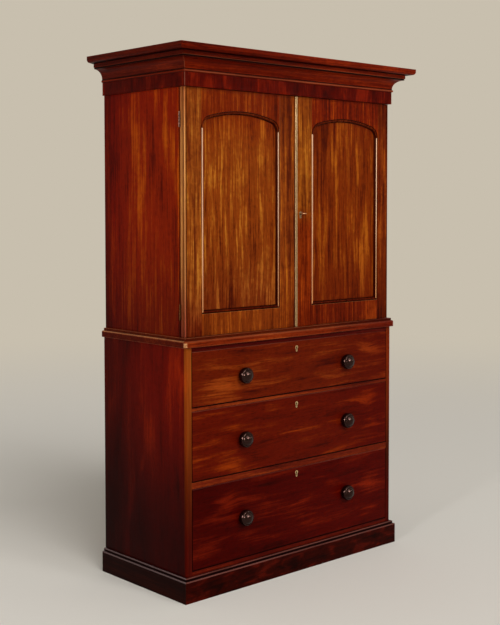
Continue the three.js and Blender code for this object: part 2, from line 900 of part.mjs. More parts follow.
function boltNotch() {
  return block(
    [-edgeX + cutOverrun, -edgeX - boltThrow - keeperPlay],
    [doorBack - cutOverrun, boltDepths[1] + keeperPlay],
    [boltLow - keeperPlay, boltLow + boltHeight + keeperPlay],
  );
}
sides.forEach(door);

// Brass strip, chamfered along its front edges
const stripPlan = new THREE.Shape();
const stripBack = doorFace + seatGap;
const stripFront = stripBack + stripThickness;
stripPlan.moveTo(edgeX, stripBack);
stripPlan.lineTo(edgeX + stripWidth, stripBack);
stripPlan.lineTo(edgeX + stripWidth, stripFront - stripChamfer);
stripPlan.lineTo(edgeX + stripWidth - stripChamfer, stripFront);
stripPlan.lineTo(edgeX + stripChamfer, stripFront);
stripPlan.lineTo(edgeX, stripFront - stripChamfer);
add("meeting_strip", "brass", upright(stripPlan, doorBottom + stripEndInset, doorTop - stripEndInset));

// Lock: a case let into the back of the stile, and a bush that lines the keyhole
const lockCase = block(
  [edgeX + seatGap, caseInner],
  [caseBack, caseFront],
  [lockZ - lockCaseBelow, lockZ + lockCaseAbove],
);
const bush = facing(bushOutline(0), caseFront - lockWall, doorFace + bushProud);
const boltWay = block(
  [edgeX - cutOverrun, edgeX + boltLength + boltPlay + seatGap],
  [boltDepths[0] - boltPlay, boltDepths[1] + boltPlay],
  [boltLow - boltPlay, boltLow + boltHeight + boltPlay],
);
const bitRoom = frontBar(
  lockX,
  lockZ,
  keyBitReach + keyBitPlay,
  caseBack + lockWall,
  caseFront - lockWall,
  turnedSteps,
);
const shankWayRadius = keyShankRadius + keyPlay;
const keyWayHeight = shankWayRadius + keyBitReach + keyBitPlay;
const keyWay = facing(
  keyholeOutline(
    lockX,
    lockZ + shankWayRadius - keyWayHeight / 2,
    shankWayRadius,
    keyBitThickness + keyBitPlay,
    keyWayHeight,
    0,
  ),
  caseFront - lockWall - cutOverrun,
  doorFace + cutOverrun,
);
add("door_lock", "agedBrass", cut(join(lockCase, bush), boltWay, bitRoom, keyWay));

add(
  "door_lock_bolt",
  "brass",
  block([edgeX + seatGap, edgeX + seatGap + boltLength], boltDepths, [boltLow, boltLow + boltHeight]),
);

// Key: shank, bit and a flat open bow, which lies level at rest
const keyTip = caseBack + lockWall + keyPlay;
const bowDepth = doorFace + keyProjection;
const shank = frontBar(lockX, lockZ, keyShankRadius, keyTip, bowDepth - bowLength / 2 + bowRim / 2, pinSteps);
const bit = block(
  [lockX, lockX + keyBitReach],
  [keyTip, caseFront - lockWall - keyPlay],
  [lockZ - keyBitThickness / 2, lockZ + keyBitThickness / 2],
);
const bowOutline = new THREE.Shape();
bowOutline.absellipse(lockX, bowDepth, bowWidth / 2, bowLength / 2, 0, 2 * Math.PI, false);
const bowEye = new THREE.Path();
bowEye.absellipse(lockX, bowDepth, bowWidth / 2 - bowRim, bowLength / 2 - bowRim, 0, 2 * Math.PI, true);
bowOutline.holes.push(bowEye);
const bow = upright(bowOutline, lockZ - bowThickness / 2, lockZ + bowThickness / 2);
add("door_key", "steel", join(shank, bit, bow));

// Butt hinges: the carcase leaf has the odd knuckles and the pin, the door leaf the even ones
function hinge({ side, hand }, { level, low }) {
  const pitch = hingeLength / knuckleCount;
  const axisX = side * hingeAxisX;
  const knuckles = [[], []];
  for (let i = 0; i < knuckleCount; i += 1) {
    knuckles[i % 2].push([low + i * pitch + knuckleGap / 2, low + (i + 1) * pitch - knuckleGap / 2]);
  }
  const leafDepths = [
    [upperDepth - leafThickness, upperDepth],
    [doorBack, doorBack + leafThickness],
  ];
  const pieces = leafDepths.map((depths, i) => {
    const leaf = block(
      [side * (upperHalf - leafWidth), side * (upperHalf - leafSetback / 2)],
      depths,
      [low, low + hingeLength],
    );
    const barrel = knuckles[i].flatMap((levels) => [
      block([side * (upperHalf - leafSetback), axisX], depths, levels),
      standingBar(axisX, hingeAxisDepth, barrelRadius, ...levels, pinSteps),
    ]);
    return join(leaf, ...barrel);
  });
  const pin = standingBar(axisX, hingeAxisDepth, pinRadius, low, low + hingeLength, pinSteps);
  const bore = standingBar(
    axisX,
    hingeAxisDepth,
    pinRadius + pinClearance,
    low - cutOverrun,
    low + hingeLength + cutOverrun,
    pinSteps,
  );
  add(hand + "_" + level + "_hinge_carcase_leaf", "agedBrass", join(pieces[0], pin));
  add(hand + "_" + level + "_hinge_door_leaf", "agedBrass", cut(pieces[1], bore));
}
for (const edge of sides) hingeSpots.forEach((spot) => hinge(edge, spot));

// Cornice: frieze and ledge, astragal, cavetto, fillet and crown
const corniceOutline = new THREE.Shape();
const astragalTop = friezeHeight + 2 * astragalRadius;
const cavettoBase = astragalTop + cavettoLift;
const cavettoTop = cavettoBase + cavettoRise;
const filletBottom = cavettoTop + filletFoot;
const filletTop = filletBottom + filletHeight;
const filletRun = cavettoFoot + cavettoRun + filletLedge;
corniceOutline.moveTo(-ledgeDepth, 0);
corniceOutline.lineTo(0, 0);
corniceOutline.lineTo(0, friezeHeight);
corniceOutline.absarc(0, friezeHeight + astragalRadius, astragalRadius, -Math.PI / 2, Math.PI / 2, false);
corniceOutline.lineTo(cavettoFoot, astragalTop);
corniceOutline.absellipse(
  cavettoFoot + cavettoRun,
  cavettoBase,
  cavettoRun,
  cavettoRise,
  Math.PI,
  Math.PI / 2,
  true,
);
corniceOutline.lineTo(cavettoFoot + cavettoRun, filletBottom);
corniceOutline.lineTo(filletRun, filletBottom);
corniceOutline.lineTo(filletRun, filletTop);
corniceOutline.lineTo(filletRun + soffitLedge, filletTop);
corniceOutline.lineTo(corniceProjection - crownRound, filletTop + soffitRise);
corniceOutline.absarc(
  corniceProjection - crownRound,
  filletTop + soffitRise + crownRound,
  crownRound,
  -Math.PI / 2,
  0,
  false,
);
corniceOutline.lineTo(corniceProjection, corniceHeight);
corniceOutline.lineTo(-friezeThickness, corniceHeight);
corniceOutline.lineTo(-friezeThickness, ledgeThickness);
corniceOutline.lineTo(-ledgeDepth, ledgeThickness);
mitredSet("cornice", "darkMahogany", corniceOutline, corniceBottom);

// The back rail of the cornice stands between its returns and is notched over their ledges
const corniceBackHalf = baseHalf - friezeThickness - seatGap;
const corniceBackFoot = baseHalf - ledgeDepth - seatGap;
const corniceTop = corniceBottom + corniceHeight;
add(
  "cornice_back",
  "backPine",
  join(
    block(
      [-corniceBackHalf, corniceBackHalf],
      [0, corniceBackThickness],
      [corniceBottom + ledgeThickness + seatGap, corniceTop],
    ),
    block([-corniceBackFoot, corniceBackFoot], [0, corniceBackThickness], [corniceBottom, corniceTop]),
  ),
);

export default press;
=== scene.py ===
import math

import bmesh
import bpy
from mathutils import Matrix, Vector


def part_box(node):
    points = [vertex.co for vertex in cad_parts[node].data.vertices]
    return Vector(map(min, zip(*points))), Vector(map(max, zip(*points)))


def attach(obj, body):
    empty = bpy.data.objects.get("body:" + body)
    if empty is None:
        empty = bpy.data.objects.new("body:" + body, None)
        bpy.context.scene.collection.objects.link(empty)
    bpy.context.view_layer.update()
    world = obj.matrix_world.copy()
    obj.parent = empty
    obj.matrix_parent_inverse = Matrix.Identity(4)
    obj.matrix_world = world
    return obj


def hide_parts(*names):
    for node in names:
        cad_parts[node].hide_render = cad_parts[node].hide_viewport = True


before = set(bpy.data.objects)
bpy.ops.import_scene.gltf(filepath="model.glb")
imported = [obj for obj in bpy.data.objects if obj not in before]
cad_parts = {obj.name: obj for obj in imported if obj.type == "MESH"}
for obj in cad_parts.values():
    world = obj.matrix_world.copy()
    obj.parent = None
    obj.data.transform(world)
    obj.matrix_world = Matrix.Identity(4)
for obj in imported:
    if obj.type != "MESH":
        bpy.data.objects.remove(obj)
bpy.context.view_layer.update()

# Plinth. A base moulding of solid mahogany round the front and both sides, mitred at the front corners
# and glued under the chest. Its top is worked into two small rounded steps, whose rounds are painted
# pale as highlights, and the corner under the upper step is painted dark as shade. Its wood is
# coloured the darkest of the press.
plinth_projection = 0.017
plinth_thickness = 0.028
plinth_height = 0.098
plinth_step_height = 0.012
plinth_step_inset = 0.008
plinth_rounding = 0.004
plinth_step_rounding = 0.0035
arris_rounding = 0.0008
rounding_segments = 4
segments_per_metre = 300
joint_gap = 0.0003
sharp_angle = 35
hands = (("left", -1), ("right", 1))


def draw_section(corners):
    """A moulding's section as a flat face. Each corner is a run outwards, a height and its rounding."""
    shape = bmesh.new()
    verts = [shape.verts.new((out, up, 0)) for out, up, rounding in corners]
    shape.faces.new(verts)
    for vert, (out, up, rounding) in zip(verts, corners):
        if rounding:
            bmesh.ops.bevel(
                shape, geom=[vert], offset=rounding, offset_type="OFFSET",
                segments=rounding_segments + int(rounding * segments_per_metre), profile=0.5,
                affect="VERTICES", material=-1,
            )
    return shape


def mark(shape, name, share, test):
    """Marks the faces whose middle passes a test, for the material to read: pale marks of wear and
    painted highlight, or painted shade.
    """
    layers = shape.loops.layers.float
    layer = layers.get(name) or layers.new(name)
    for face in shape.faces:
        if test(face.calc_center_median()):
            for loop in face.loops:
                loop[layer] = share


def carry(shape, place, pale_marked=None, shaded=None):
    """Carries a flat section along a run. place(out, up, end) says where a point lies at end 0 or 1.
    The two tests say by out and up which strips of it are painted pale as highlights and which are
    painted dark as shade."""
    made = bmesh.ops.extrude_face_region(shape, geom=shape.faces[:])["geom"]
    for name, test in (("wear_and_highlight", pale_marked), ("painted_shade", shaded)):
        if test:
            mark(shape, name, 1, lambda middle: test(middle.x, middle.y))
    far = {vert for vert in made if isinstance(vert, bmesh.types.BMVert)}
    for vert in shape.verts:
        vert.co = place(vert.co.x, vert.co.y, 1 if vert in far else 0)
    return shape


def add_object(name, data):
    """Adds an object to the scene."""
    added = bpy.data.objects.new(name, data)
    bpy.context.scene.collection.objects.link(added)
    return added


def shade(piece):
    """Shades a piece smooth where it is round, and sharp at its arrises."""
    piece.data.shade_smooth()
    piece.data.set_sharp_from_angle(angle=math.radians(sharp_angle))
    flats = piece.modifiers.new("flats", "WEIGHTED_NORMAL")
    flats.keep_sharp = True
    return piece


def make_piece(shape, name, *materials):
    """Turns a finished shape into an object."""
    bmesh.ops.recalc_face_normals(shape, faces=shape.faces[:])
    mesh = bpy.data.meshes.new(name)
    shape.to_mesh(mesh)
    shape.free()
    for material in materials:
        mesh.materials.append(material)
    return shade(add_object(name, mesh))


def linear(hex_colour):
    """The linear colour of an sRGB hex colour."""
    shares = [int(hex_colour[i : i + 2], 16) / 255 for i in (1, 3, 5)]
    return [*(s / 12.92 if s <= 0.04045 else ((s + 0.055) / 1.055) ** 2.4 for s in shares), 1]


def feed(node, inputs):
    """Feeds a node: with values, with outputs, or with nodes that are linked by their first output."""
    for socket, value in inputs.items():
        source = value.outputs[0] if isinstance(value, bpy.types.Node) else value
        if isinstance(source, bpy.types.NodeSocket):
            node.id_data.links.new(source, node.inputs[socket])
        else:
            node.inputs[socket].default_value = value


def add_node(tree, kind, inputs, tones=(), **settings):
    """Adds a node and feeds it. The tones of a colour ramp are places and hex colours, its two ends
    first."""
    node = tree.nodes.new("ShaderNode" + kind)
    for setting, value in settings.items():
        setattr(node, setting, value)
    feed(node, inputs)
    for i, (place, colour) in enumerate(tones):
        elements = node.color_ramp.elements
        element = elements[i] if i < 2 else elements.new(place)
        element.position = place
        element.color = linear(colour)
    return node


def new_material(name, even):
    """A material, its node tree and its shader, with the values set that are even all over."""
    material = bpy.data.materials.new(name)
    material.use_nodes = True
    shader = material.node_tree.nodes["Principled BSDF"]
    feed(shader, even)
    return material, material.node_tree, shader


def set_in(piece, body, node):
    """Puts a finished piece on its body, in place of the plain solid."""
    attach(piece, body)
    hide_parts(node)


# Cuban mahogany under French polish: interlocked grain shows as ribbons 10 to 20 mm wide, with streaks of
# 2 to 3 mm in them. Its pores are dark dashes about 0.2 mm wide, drawn 1 mm wide here so that they show.
# The shellac is thin and amber, so reflections are soft and warm. Arrises are painted paler, as wear
# and as painted highlight, and quirks, gaps and corners darker as painted shade.
ribbon_pitch = 0.012
ribbon_length = 0.6
streak_pitch = 0.005
streak_length = 0.16
cloud_pitch = 0.16
cloud_length = 0.6
pore_pitch = 0.0011
pore_length = 0.025
pore_relief = 0.0004
ripple_pitch = 0.03
ripple_share = 0.25
bend_scale = 2.2
swirl_glow = 0.1
tone_spread = 0.13
# The dark colour of painted shade, laid into quirks, gaps, soffits and inner corners.
painted_shade_colour = "#120303"


def mahogany(
    name, dark, middle, light, grain="Z", turn=0, shift=(0, 0, 0), ribbons=0.3, clouds=0.3, wander=0.012,
    contrast=1, cloud_size=(cloud_pitch, cloud_length), swirls=(), fades=(), wear_and_highlight_colour=None, wear_and_highlight_fade=None,
    roughness=0.36,
):
    """A polished mahogany board. grain is the axis that its grain follows, turned by a few degrees.
    Each swirl bends the grain round a place in X and Z and lightens it there. Each fade darkens the
    board along an axis, from a share of its red, green and blue at one place to all at another; most
    fades are painted shade. The pale colour is that of the marks of wear and painted highlight, and
    their fade gives a height where these marks are only a share of their full amount, one where they
    are full, and that share."""
    even = {"IOR": 1.5, "Specular IOR Level": 0.04, "Specular Tint": linear("#ff7040")}
    material, tree, shader = new_material(name, even)
    lie = {"X": (0, math.radians(90 + turn), 0), "Y": (math.radians(90 + turn), 0, 0)}
    place = add_node(tree, "TexCoord", {})
    levels = add_node(tree, "SeparateXYZ", {"Vector": place.outputs["Object"]})
    lying = lie.get(grain, (0, math.radians(turn), 0))
    board = add_node(
        tree, "Mapping", {"Vector": place.outputs["Object"], "Rotation": lying, "Location": shift},
    )
    bend = add_node(tree, "TexNoise", {"Vector": board, "Scale": bend_scale, "Detail": 1.5})
    swing = add_node(
        tree, "VectorMath", {0: bend.outputs["Color"], 1: (wander, wander, 0), 2: board},
        operation="MULTIPLY_ADD",
    )
    glow = 0
    for x, z, reach, lift in swirls:
        away = add_node(
            tree, "VectorMath", {0: place.outputs["Object"], 1: (x, chest_front, z)},
            operation="DISTANCE",
        )
        near = add_node(
            tree, "MapRange", {"Value": away.outputs["Value"], "From Min": reach, "From Max": 0},
            interpolation_type="SMOOTHSTEP",
        )
        swing = add_node(
            tree, "VectorMath", {0: near, 1: (lift, 0, 0), 2: swing}, operation="MULTIPLY_ADD",
        )
        glow = add_node(tree, "Math", {0: near, 1: swirl_glow, 2: glow}, operation="MULTIPLY_ADD")

    def pattern(pitch, length, detail, distortion=0):
        stretched = add_node(
            tree, "Mapping", {"Vector": swing, "Scale": (1 / pitch, 1 / pitch, 1 / length)},
        )
        settings = {"Scale": 1, "Detail": detail, "Roughness": 0.55, "Distortion": distortion}
        return add_node(tree, "TexNoise", {"Vector": stretched, **settings})

    def add_up(total, *parts):
        for part, share in parts:
            total = add_node(tree, "Math", {0: part, 1: share, 2: total}, operation="MULTIPLY_ADD")
        return total

    ribbon = pattern(ribbon_pitch, ribbon_length, 2.5)
    streak = pattern(streak_pitch, streak_length, 2)
    cloud = pattern(*cloud_size, 2, 0.6)
    ripple = pattern(ripple_pitch, ripple_pitch, 1.5, 1)
    pore = pattern(pore_pitch, pore_length, 0)
    streaks = 1 - ribbons - clouds
    figure = add_up(
        glow, (ribbon, ribbons), (cloud, clouds), (streak, streaks * (1 - ripple_share)),
        (ripple, streaks * ripple_share),
    )
    spread = tone_spread / contrast
    tones = add_node(
        tree, "ValToRGB", {"Fac": figure}, ((0.5 - spread, dark), (0.5 + spread, light), (0.5, middle))
    )
    tones.color_ramp.interpolation = "EASE"
    pores = add_node(
        tree, "MapRange",
        {"Value": pore, "From Min": 0.56, "From Max": 0.72, "To Min": 1, "To Max": 0.55},
    )
    grained = add_node(tree, "VectorMath", {0: tones, "Scale": pores}, operation="SCALE")
    # Pale marks of wear and painted highlight, read from the piece and shared out in patches along the
    # ribbons.
    wear_and_highlight = add_node(tree, "Attribute", {}, attribute_name="wear_and_highlight")
    patchy = add_node(
        tree, "MapRange",
        {"Value": ribbon, "From Min": 0.35, "From Max": 0.65, "To Min": 0.45, "To Max": 0.95},
    )
    wear_and_highlight_share = add_node(tree, "Math", {0: wear_and_highlight.outputs["Fac"], 1: patchy}, operation="MULTIPLY")
    if wear_and_highlight_fade:
        low_place, full_place, low_share = wear_and_highlight_fade
        rise = {"From Min": low_place, "From Max": full_place, "To Min": low_share}
        reached = add_node(
            tree, "MapRange", {"Value": levels.outputs["Z"], **rise}, interpolation_type="SMOOTHSTEP",
        )
        wear_and_highlight_share = add_node(tree, "Math", {0: wear_and_highlight_share, 1: reached}, operation="MULTIPLY")
    pale_marked = add_node(
        tree, "Mix", {"Factor": wear_and_highlight_share, "A": grained, "B": linear(wear_and_highlight_colour or light)}, data_type="RGBA",
    )
    # Painted shade from the piece's marks darkens the colour in quirks, gaps and corners.
    painted_shade = add_node(tree, "Attribute", {}, attribute_name="painted_shade")
    shade_mixed = add_node(
        tree, "Mix",
        {"Factor": painted_shade.outputs["Fac"], "A": pale_marked.outputs["Result"], "B": linear(painted_shade_colour)},
        data_type="RGBA",
    )
    colour = shade_mixed.outputs["Result"]
    for axis, dark_place, clear_place, shares in fades:
        darker = add_node(
            tree, "MapRange",
            {"Value": levels.outputs[axis], "From Min": clear_place, "From Max": dark_place},
            interpolation_type="SMOOTHSTEP",
        )
        faded = add_node(
            tree, "Mix", {"Factor": darker, "A": colour, "B": (*shares, 1)}, data_type="RGBA",
            blend_type="MULTIPLY",
        )
        colour = faded.outputs["Result"]
    shine = {"To Min": roughness - 0.05, "To Max": roughness + 0.07}
    polish = add_node(tree, "MapRange", {"Value": ripple, "From Min": 0.3, "From Max": 0.7, **shine})
    relief = add_up(0.5, (streak, 0.3), (pore, -0.6))
    bump = add_node(tree, "Bump", {"Height": relief, "Strength": 0.12, "Distance": pore_relief})
    feed(shader, {"Base Color": colour, "Roughness": polish, "Normal": bump})
    return material


base_left_low, base_left_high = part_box("base_left_side")
chest_half = -base_left_low.x
chest_front = base_left_low.y
press_back = base_left_high.y

plinth_shoulder = plinth_height - plinth_step_height
plinth_step = plinth_projection - plinth_step_inset
plinth_inner = plinth_projection - plinth_thickness
plinth_corners = [
    (plinth_inner, 0, 0),
    (plinth_projection, 0, arris_rounding),
    (plinth_projection, plinth_shoulder, plinth_rounding),
    (plinth_step, plinth_shoulder, 0),
    (plinth_step, plinth_height, plinth_step_rounding),
    (plinth_inner, plinth_height, 0),
]


def plinth_highlights(out, up):
    """The rounds of the two steps, painted pale as highlights."""
    shoulder = plinth_shoulder - plinth_rounding < up < plinth_shoulder
    step = plinth_height - plinth_step_rounding < up < plinth_height
    return shoulder and out > plinth_step or step and out > plinth_step - plinth_step_rounding


def plinth_shade(out, up):
    """The corner where the upper step stands on the lower one, painted dark as shade."""
    return plinth_shoulder < up < plinth_height - plinth_step_rounding and out > 0


def mitred_front(corners, level, *marks):
    """A moulding along the front of the press, mitred at both ends."""
    return carry(
        draw_section(corners),
        lambda out, up, end: ((2 * end - 1) * (chest_half + out), chest_front - out, level + up), *marks,
    )


def mitred_return(corners, level, side, *marks):
    """A moulding along one side of the press, mitred at its front end."""

    def place(out, up, end):
        front = chest_front - out + joint_gap
        return (side * (chest_half + out), press_back + end * (front - press_back), level + up)

    return carry(draw_section(corners), place, *marks)


plinth_wood = mahogany(
    "mahogany_plinth_across", "#150201", "#2a0401", "#480c04", grain="X", turn=3, shift=(0.3, 0.1, 0.7),
    ribbons=0.2, clouds=0.6, cloud_size=(0.04, 0.1), wear_and_highlight_colour="#6c4038", roughness=0.34,
)
plinth_side_wood = mahogany(
    "mahogany_plinth_sides", "#0a0101", "#160201", "#260602", grain="Y", shift=(0.8, 0.5, 0.2),
    wear_and_highlight_colour="#7e6866", roughness=0.34,
)
plinth = make_piece(
    mitred_front(plinth_corners, 0, plinth_highlights, plinth_shade), "plinth_front_moulding", plinth_wood,
)
set_in(plinth, "carcase", "plinth_front")
for hand, side in hands:
    plinth = make_piece(
        mitred_return(plinth_corners, 0, side, plinth_highlights, plinth_shade),
        "plinth_" + hand + "_moulding", plinth_side_wood,
    )
    set_in(plinth, "carcase", "plinth_" + hand)

# Chest sides. Each is a broad mahogany board with upright grain, its front corner rounded. The front
# edge and corner are painted pale as a highlight, strongest on the left side, which faces the light,
# and the boards are painted darker towards the bottom and the back as shade. The boards of the chest
# are housed in grooves across its inner face.
chest_corner_radius = 0.010
corner_segments = 8
# Shares of painted highlight on the front edge and the rounded corner of each side: the left faces the
# light.
front_edge_highlight = {"left": 0.65, "right": 0.15}
corner_highlight = {"left": 0.4, "right": 0.1}
easing = 0.0007
easing_segments = 2


def ease(shape, edges, width, segments=easing_segments, wear_and_highlight_share=0.5):
    """Rounds edges as sanding and polish leave them, and marks how pale the new faces are painted: wear
    on the arrises, and painted highlight where the light catches them.
    """
    wear_and_highlight = shape.loops.layers.float.get("wear_and_highlight")
    rounded = bmesh.ops.bevel(
        shape, geom=edges, offset=width, offset_type="OFFSET", segments=segments, profile=0.5,
        affect="EDGES", material=-1,
    )
    for face in rounded["faces"]:
        for loop in face.loops:
            loop[wear_and_highlight] = wear_and_highlight_share


def new_shape():
    """An empty shape that can hold the pale marks of its arrises: wear and painted highlight."""
    shape = bmesh.new()
    shape.loops.layers.float.new("wear_and_highlight")
    return shape


def add_board(shape, low, high):
    """A board between two corners. Returns its edges, still sharp."""
    made = bmesh.ops.create_cube(shape, size=1)["verts"]
    bmesh.ops.scale(shape, vec=Vector(high) - Vector(low), verts=made)
    bmesh.ops.translate(shape, vec=(Vector(high) + Vector(low)) / 2, verts=made)
    return list({edge for vert in made for edge in vert.link_edges})


def along(edge, axis):
    """Whether an edge runs along an axis: 0, 1 or 2."""
    run = (edge.verts[1].co - edge.verts[0].co).normalized()
    return abs(run[axis]) > 0.99


def middle_of(edge):
    return (edge.verts[0].co + edge.verts[1].co) / 2


# Painted shade: the chest sides darken towards the bottom and towards the back.
chest_shade_fades = (("Z", 0.2, 0.92, (0.2, 0.05, 0.2)), ("Y", 0.3, -0.1, (0.36, 0.25, 0.3)))
chest_side_shifts = {"left": (0.2, 0.9, 0.4), "right": (1.2, 0.3, 0.9)}
for hand, side in hands:
    node = "base_" + hand + "_side"
    low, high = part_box(node)
    shape = new_shape()
    edges = add_board(shape, low, high)
    outer = side * chest_half
    corner = [
        edge
        for edge in edges
        if along(edge, 2)
        and abs(middle_of(edge).x - outer) < easing
        and abs(middle_of(edge).y - chest_front) < easing
    ]
    ease(shape, corner, chest_corner_radius, corner_segments, corner_highlight[hand])
    inner = [
        edge
        for edge in shape.edges
        if along(edge, 2)
        and abs(middle_of(edge).x - outer) > chest_corner_radius + easing
        and abs(middle_of(edge).y - chest_front) < easing
    ]
    ease(shape, inner, easing)
    mark(shape, "wear_and_highlight", front_edge_highlight[hand], lambda middle: middle.y < chest_front + easing)
    side_wood = mahogany(
        "mahogany_chest_" + hand + "_side", "#330301", "#660a01", "#962403",
        shift=chest_side_shifts[hand], ribbons=0.15, clouds=0.65, cloud_size=(0.11, 0.5), wander=0.03,
        contrast=0.7, fades=chest_shade_fades, wear_and_highlight_colour="#b4641f",
    )
    chest_side = make_piece(shape, "chest_" + hand + "_side", side_wood)
    set_in(chest_side, "carcase", node)

# Boards of the chest. A mahogany rail stands between the sides at the front of each opening, and a thin
# dust board behind it is housed in the sides and carries the drawer above.
rail_heights = {"base_bottom": 0.018, "lower_drawer_divider": 0.027, "upper_drawer_divider": 0.014}
rail_depth = 0.060
rail_easing = 0.0014
# Share of painted highlight on the arrises of the rails.
rail_arris_highlight = 0.3
dust_board_thickness = 0.012


def eased_board(low, high, width, wear_and_highlight_share=0.5, segments=easing_segments, chosen=None):
    """A board between two corners. All its edges are eased, or those that are chosen by a test."""
    shape = new_shape()
    edges = add_board(shape, low, high)
    ease(shape, [edge for edge in edges if not chosen or chosen(edge)], width, segments, wear_and_highlight_share)
    return shape


# Painted shade: the top rail darker under the waist board, and the low rails darker towards the floor.
rail_wood = mahogany(
    "mahogany_chest_rails", "#3f0d06", "#631b09", "#863411", grain="X", shift=(0.6, 0.2, 0.1),
    fades=(("Z", 0.98, 0.96, (0.47, 0.22, 0.7)), ("Z", 0.12, 0.3, (0.62, 0.4, 0.6))),
)
dust_board_wood = mahogany(
    "mahogany_dust_boards", "#3c170a", "#5a2712", "#764023", grain="X", shift=(0.1, 0.7, 0.5),
    roughness=0.6,
)
rail_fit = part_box("base_right_side")[0].x - joint_gap
for node, rail_height in rail_heights.items():
    low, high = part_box(node)
    rail_back = low.y + rail_depth
    rail_low = (-rail_fit, low.y, high.z - rail_height)
    shape = eased_board(rail_low, (rail_fit, rail_back, high.z), rail_easing, rail_arris_highlight)
    # The top arris of each rail, in the gap under the drawer, is painted dark as shade.
    mark(shape, "painted_shade", 1, lambda middle: middle.z > high.z - rail_easing)
    rail = make_piece(shape, node + "_rail", rail_wood)
    set_in(rail, "carcase", node)
    dust_low = (low.x, rail_back + joint_gap, high.z - min(rail_height, dust_board_thickness))
    shape = new_shape()
    add_board(shape, dust_low, (high.x, high.y, high.z - joint_gap))
    dust_board = make_piece(shape, node + "_dust_board", dust_board_wood)
    set_in(dust_board, "carcase", node)

# Backs of the two stages. Pine boards stand side by side with a small chamfer at each joint. They were
# left from the plane, unpolished, and have gone brown and dusty.
back_board_width = 0.145
back_chamfer = 0.003
back_tones = (0.0, 0.09, -0.05, 0.05, -0.08)
growth_width_share = 0.025
planed_relief = 0.0006


def rough_wood(name, dark, light, grains, pitch, knots, roughness):
    """Unpolished softwood or oak: growth lines, pores, a few knots and a dull surface. The first grain
    is the axis that it follows, and the second that of the boards that face forwards or backwards."""
    even = {"Roughness": roughness, "Specular IOR Level": 0.3}
    material, tree, shader = new_material(name, even)
    place = add_node(tree, "TexCoord", {})
    lie = {"X": (0, math.radians(90), 0), "Y": (math.radians(90), 0, 0), "Z": (0, 0, 0)}
    along_grain, on_fronts = (
        add_node(tree, "Mapping", {"Vector": place.outputs["Object"], "Rotation": lie[grain]})
        for grain in grains
    )
    facing = add_node(tree, "SeparateXYZ", {"Vector": place.outputs["Normal"]})
    straight = add_node(
        tree, "Math", {0: facing.outputs["Y"], 1: facing.outputs["Y"]}, operation="MULTIPLY"
    )
    front = add_node(tree, "Math", {0: straight, 1: 0.5}, operation="GREATER_THAN")
    board = add_node(tree, "Mix", {"Factor": front, "A": along_grain, "B": on_fronts}, data_type="RGBA")
    stretched = add_node(
        tree, "Mapping",
        {"Vector": board.outputs["Result"], "Scale": (1 / pitch, 1 / pitch, growth_width_share / pitch)},
    )
    settings = {"Scale": 1, "Detail": 4, "Roughness": 0.6, "Distortion": knots}
    lines = add_node(tree, "TexNoise", {"Vector": stretched, **settings})
    stains = add_node(tree, "TexNoise", {"Vector": board.outputs["Result"], "Scale": 5, "Detail": 3})
    tone = add_node(tree, "Attribute", {}, attribute_name="tone")
    toned = add_node(tree, "Math", {0: tone.outputs["Fac"], 1: lines}, operation="ADD")
    total = add_node(tree, "Math", {0: stains, 1: 0.4, 2: toned}, operation="MULTIPLY_ADD")
    tones = add_node(tree, "ValToRGB", {"Fac": total}, ((0.55, dark), (0.85, light)))
    bump = add_node(tree, "Bump", {"Height": lines, "Strength": 0.4, "Distance": planed_relief})
    feed(shader, {"Base Color": tones, "Normal": bump})
    return material


pine = rough_wood("pine_unpolished", "#5e3d20", "#96693c", "ZZ", 0.011, 0.5, 0.75)
for node, name in (("base_back", "chest_back_boards"), ("upper_back", "cupboard_back_boards")):
    low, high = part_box(node)
    count = round((high.x - low.x) / back_board_width)
    width = (high.x - low.x) / count
    shape = new_shape()
    for i in range(count):
        left = low.x + i * width
        edges = add_board(shape, (left, low.y, low.z), (left + width - joint_gap, high.y, high.z))
        ease(shape, [edge for edge in edges if along(edge, 2)], back_chamfer, 1)
        tone = back_tones[i % len(back_tones)]
        mark(shape, "tone", tone, lambda middle: left < middle.x < left + width)
    back = make_piece(shape, name, pine)
    set_in(back, "carcase", node)

# Waist board. A mahogany board closes the chest and carries the cupboard. Its edge is a bold band with a
# broad round above, a small round below and a low step on top, and its front corners are rounded.
waist_band_height = 0.027
waist_projection = 0.012
waist_step_projection = 0.0015
waist_upper_rounding = 0.007
waist_lower_rounding = 0.003
waist_corner_radius = 0.011
waist_rim_segments = 6
# Shares of painted highlight on the rounded corners, the front rim, the top round of the sides and the
# step's arris, and of painted shade on the step's face.
waist_corner_highlight = 0.8
waist_rim_highlight = 0.08
waist_side_highlight = 0.45
waist_step_highlight = 0.3
waist_step_shade = 0.6
top_rail_height = 0.017
waist_half = chest_half + waist_projection
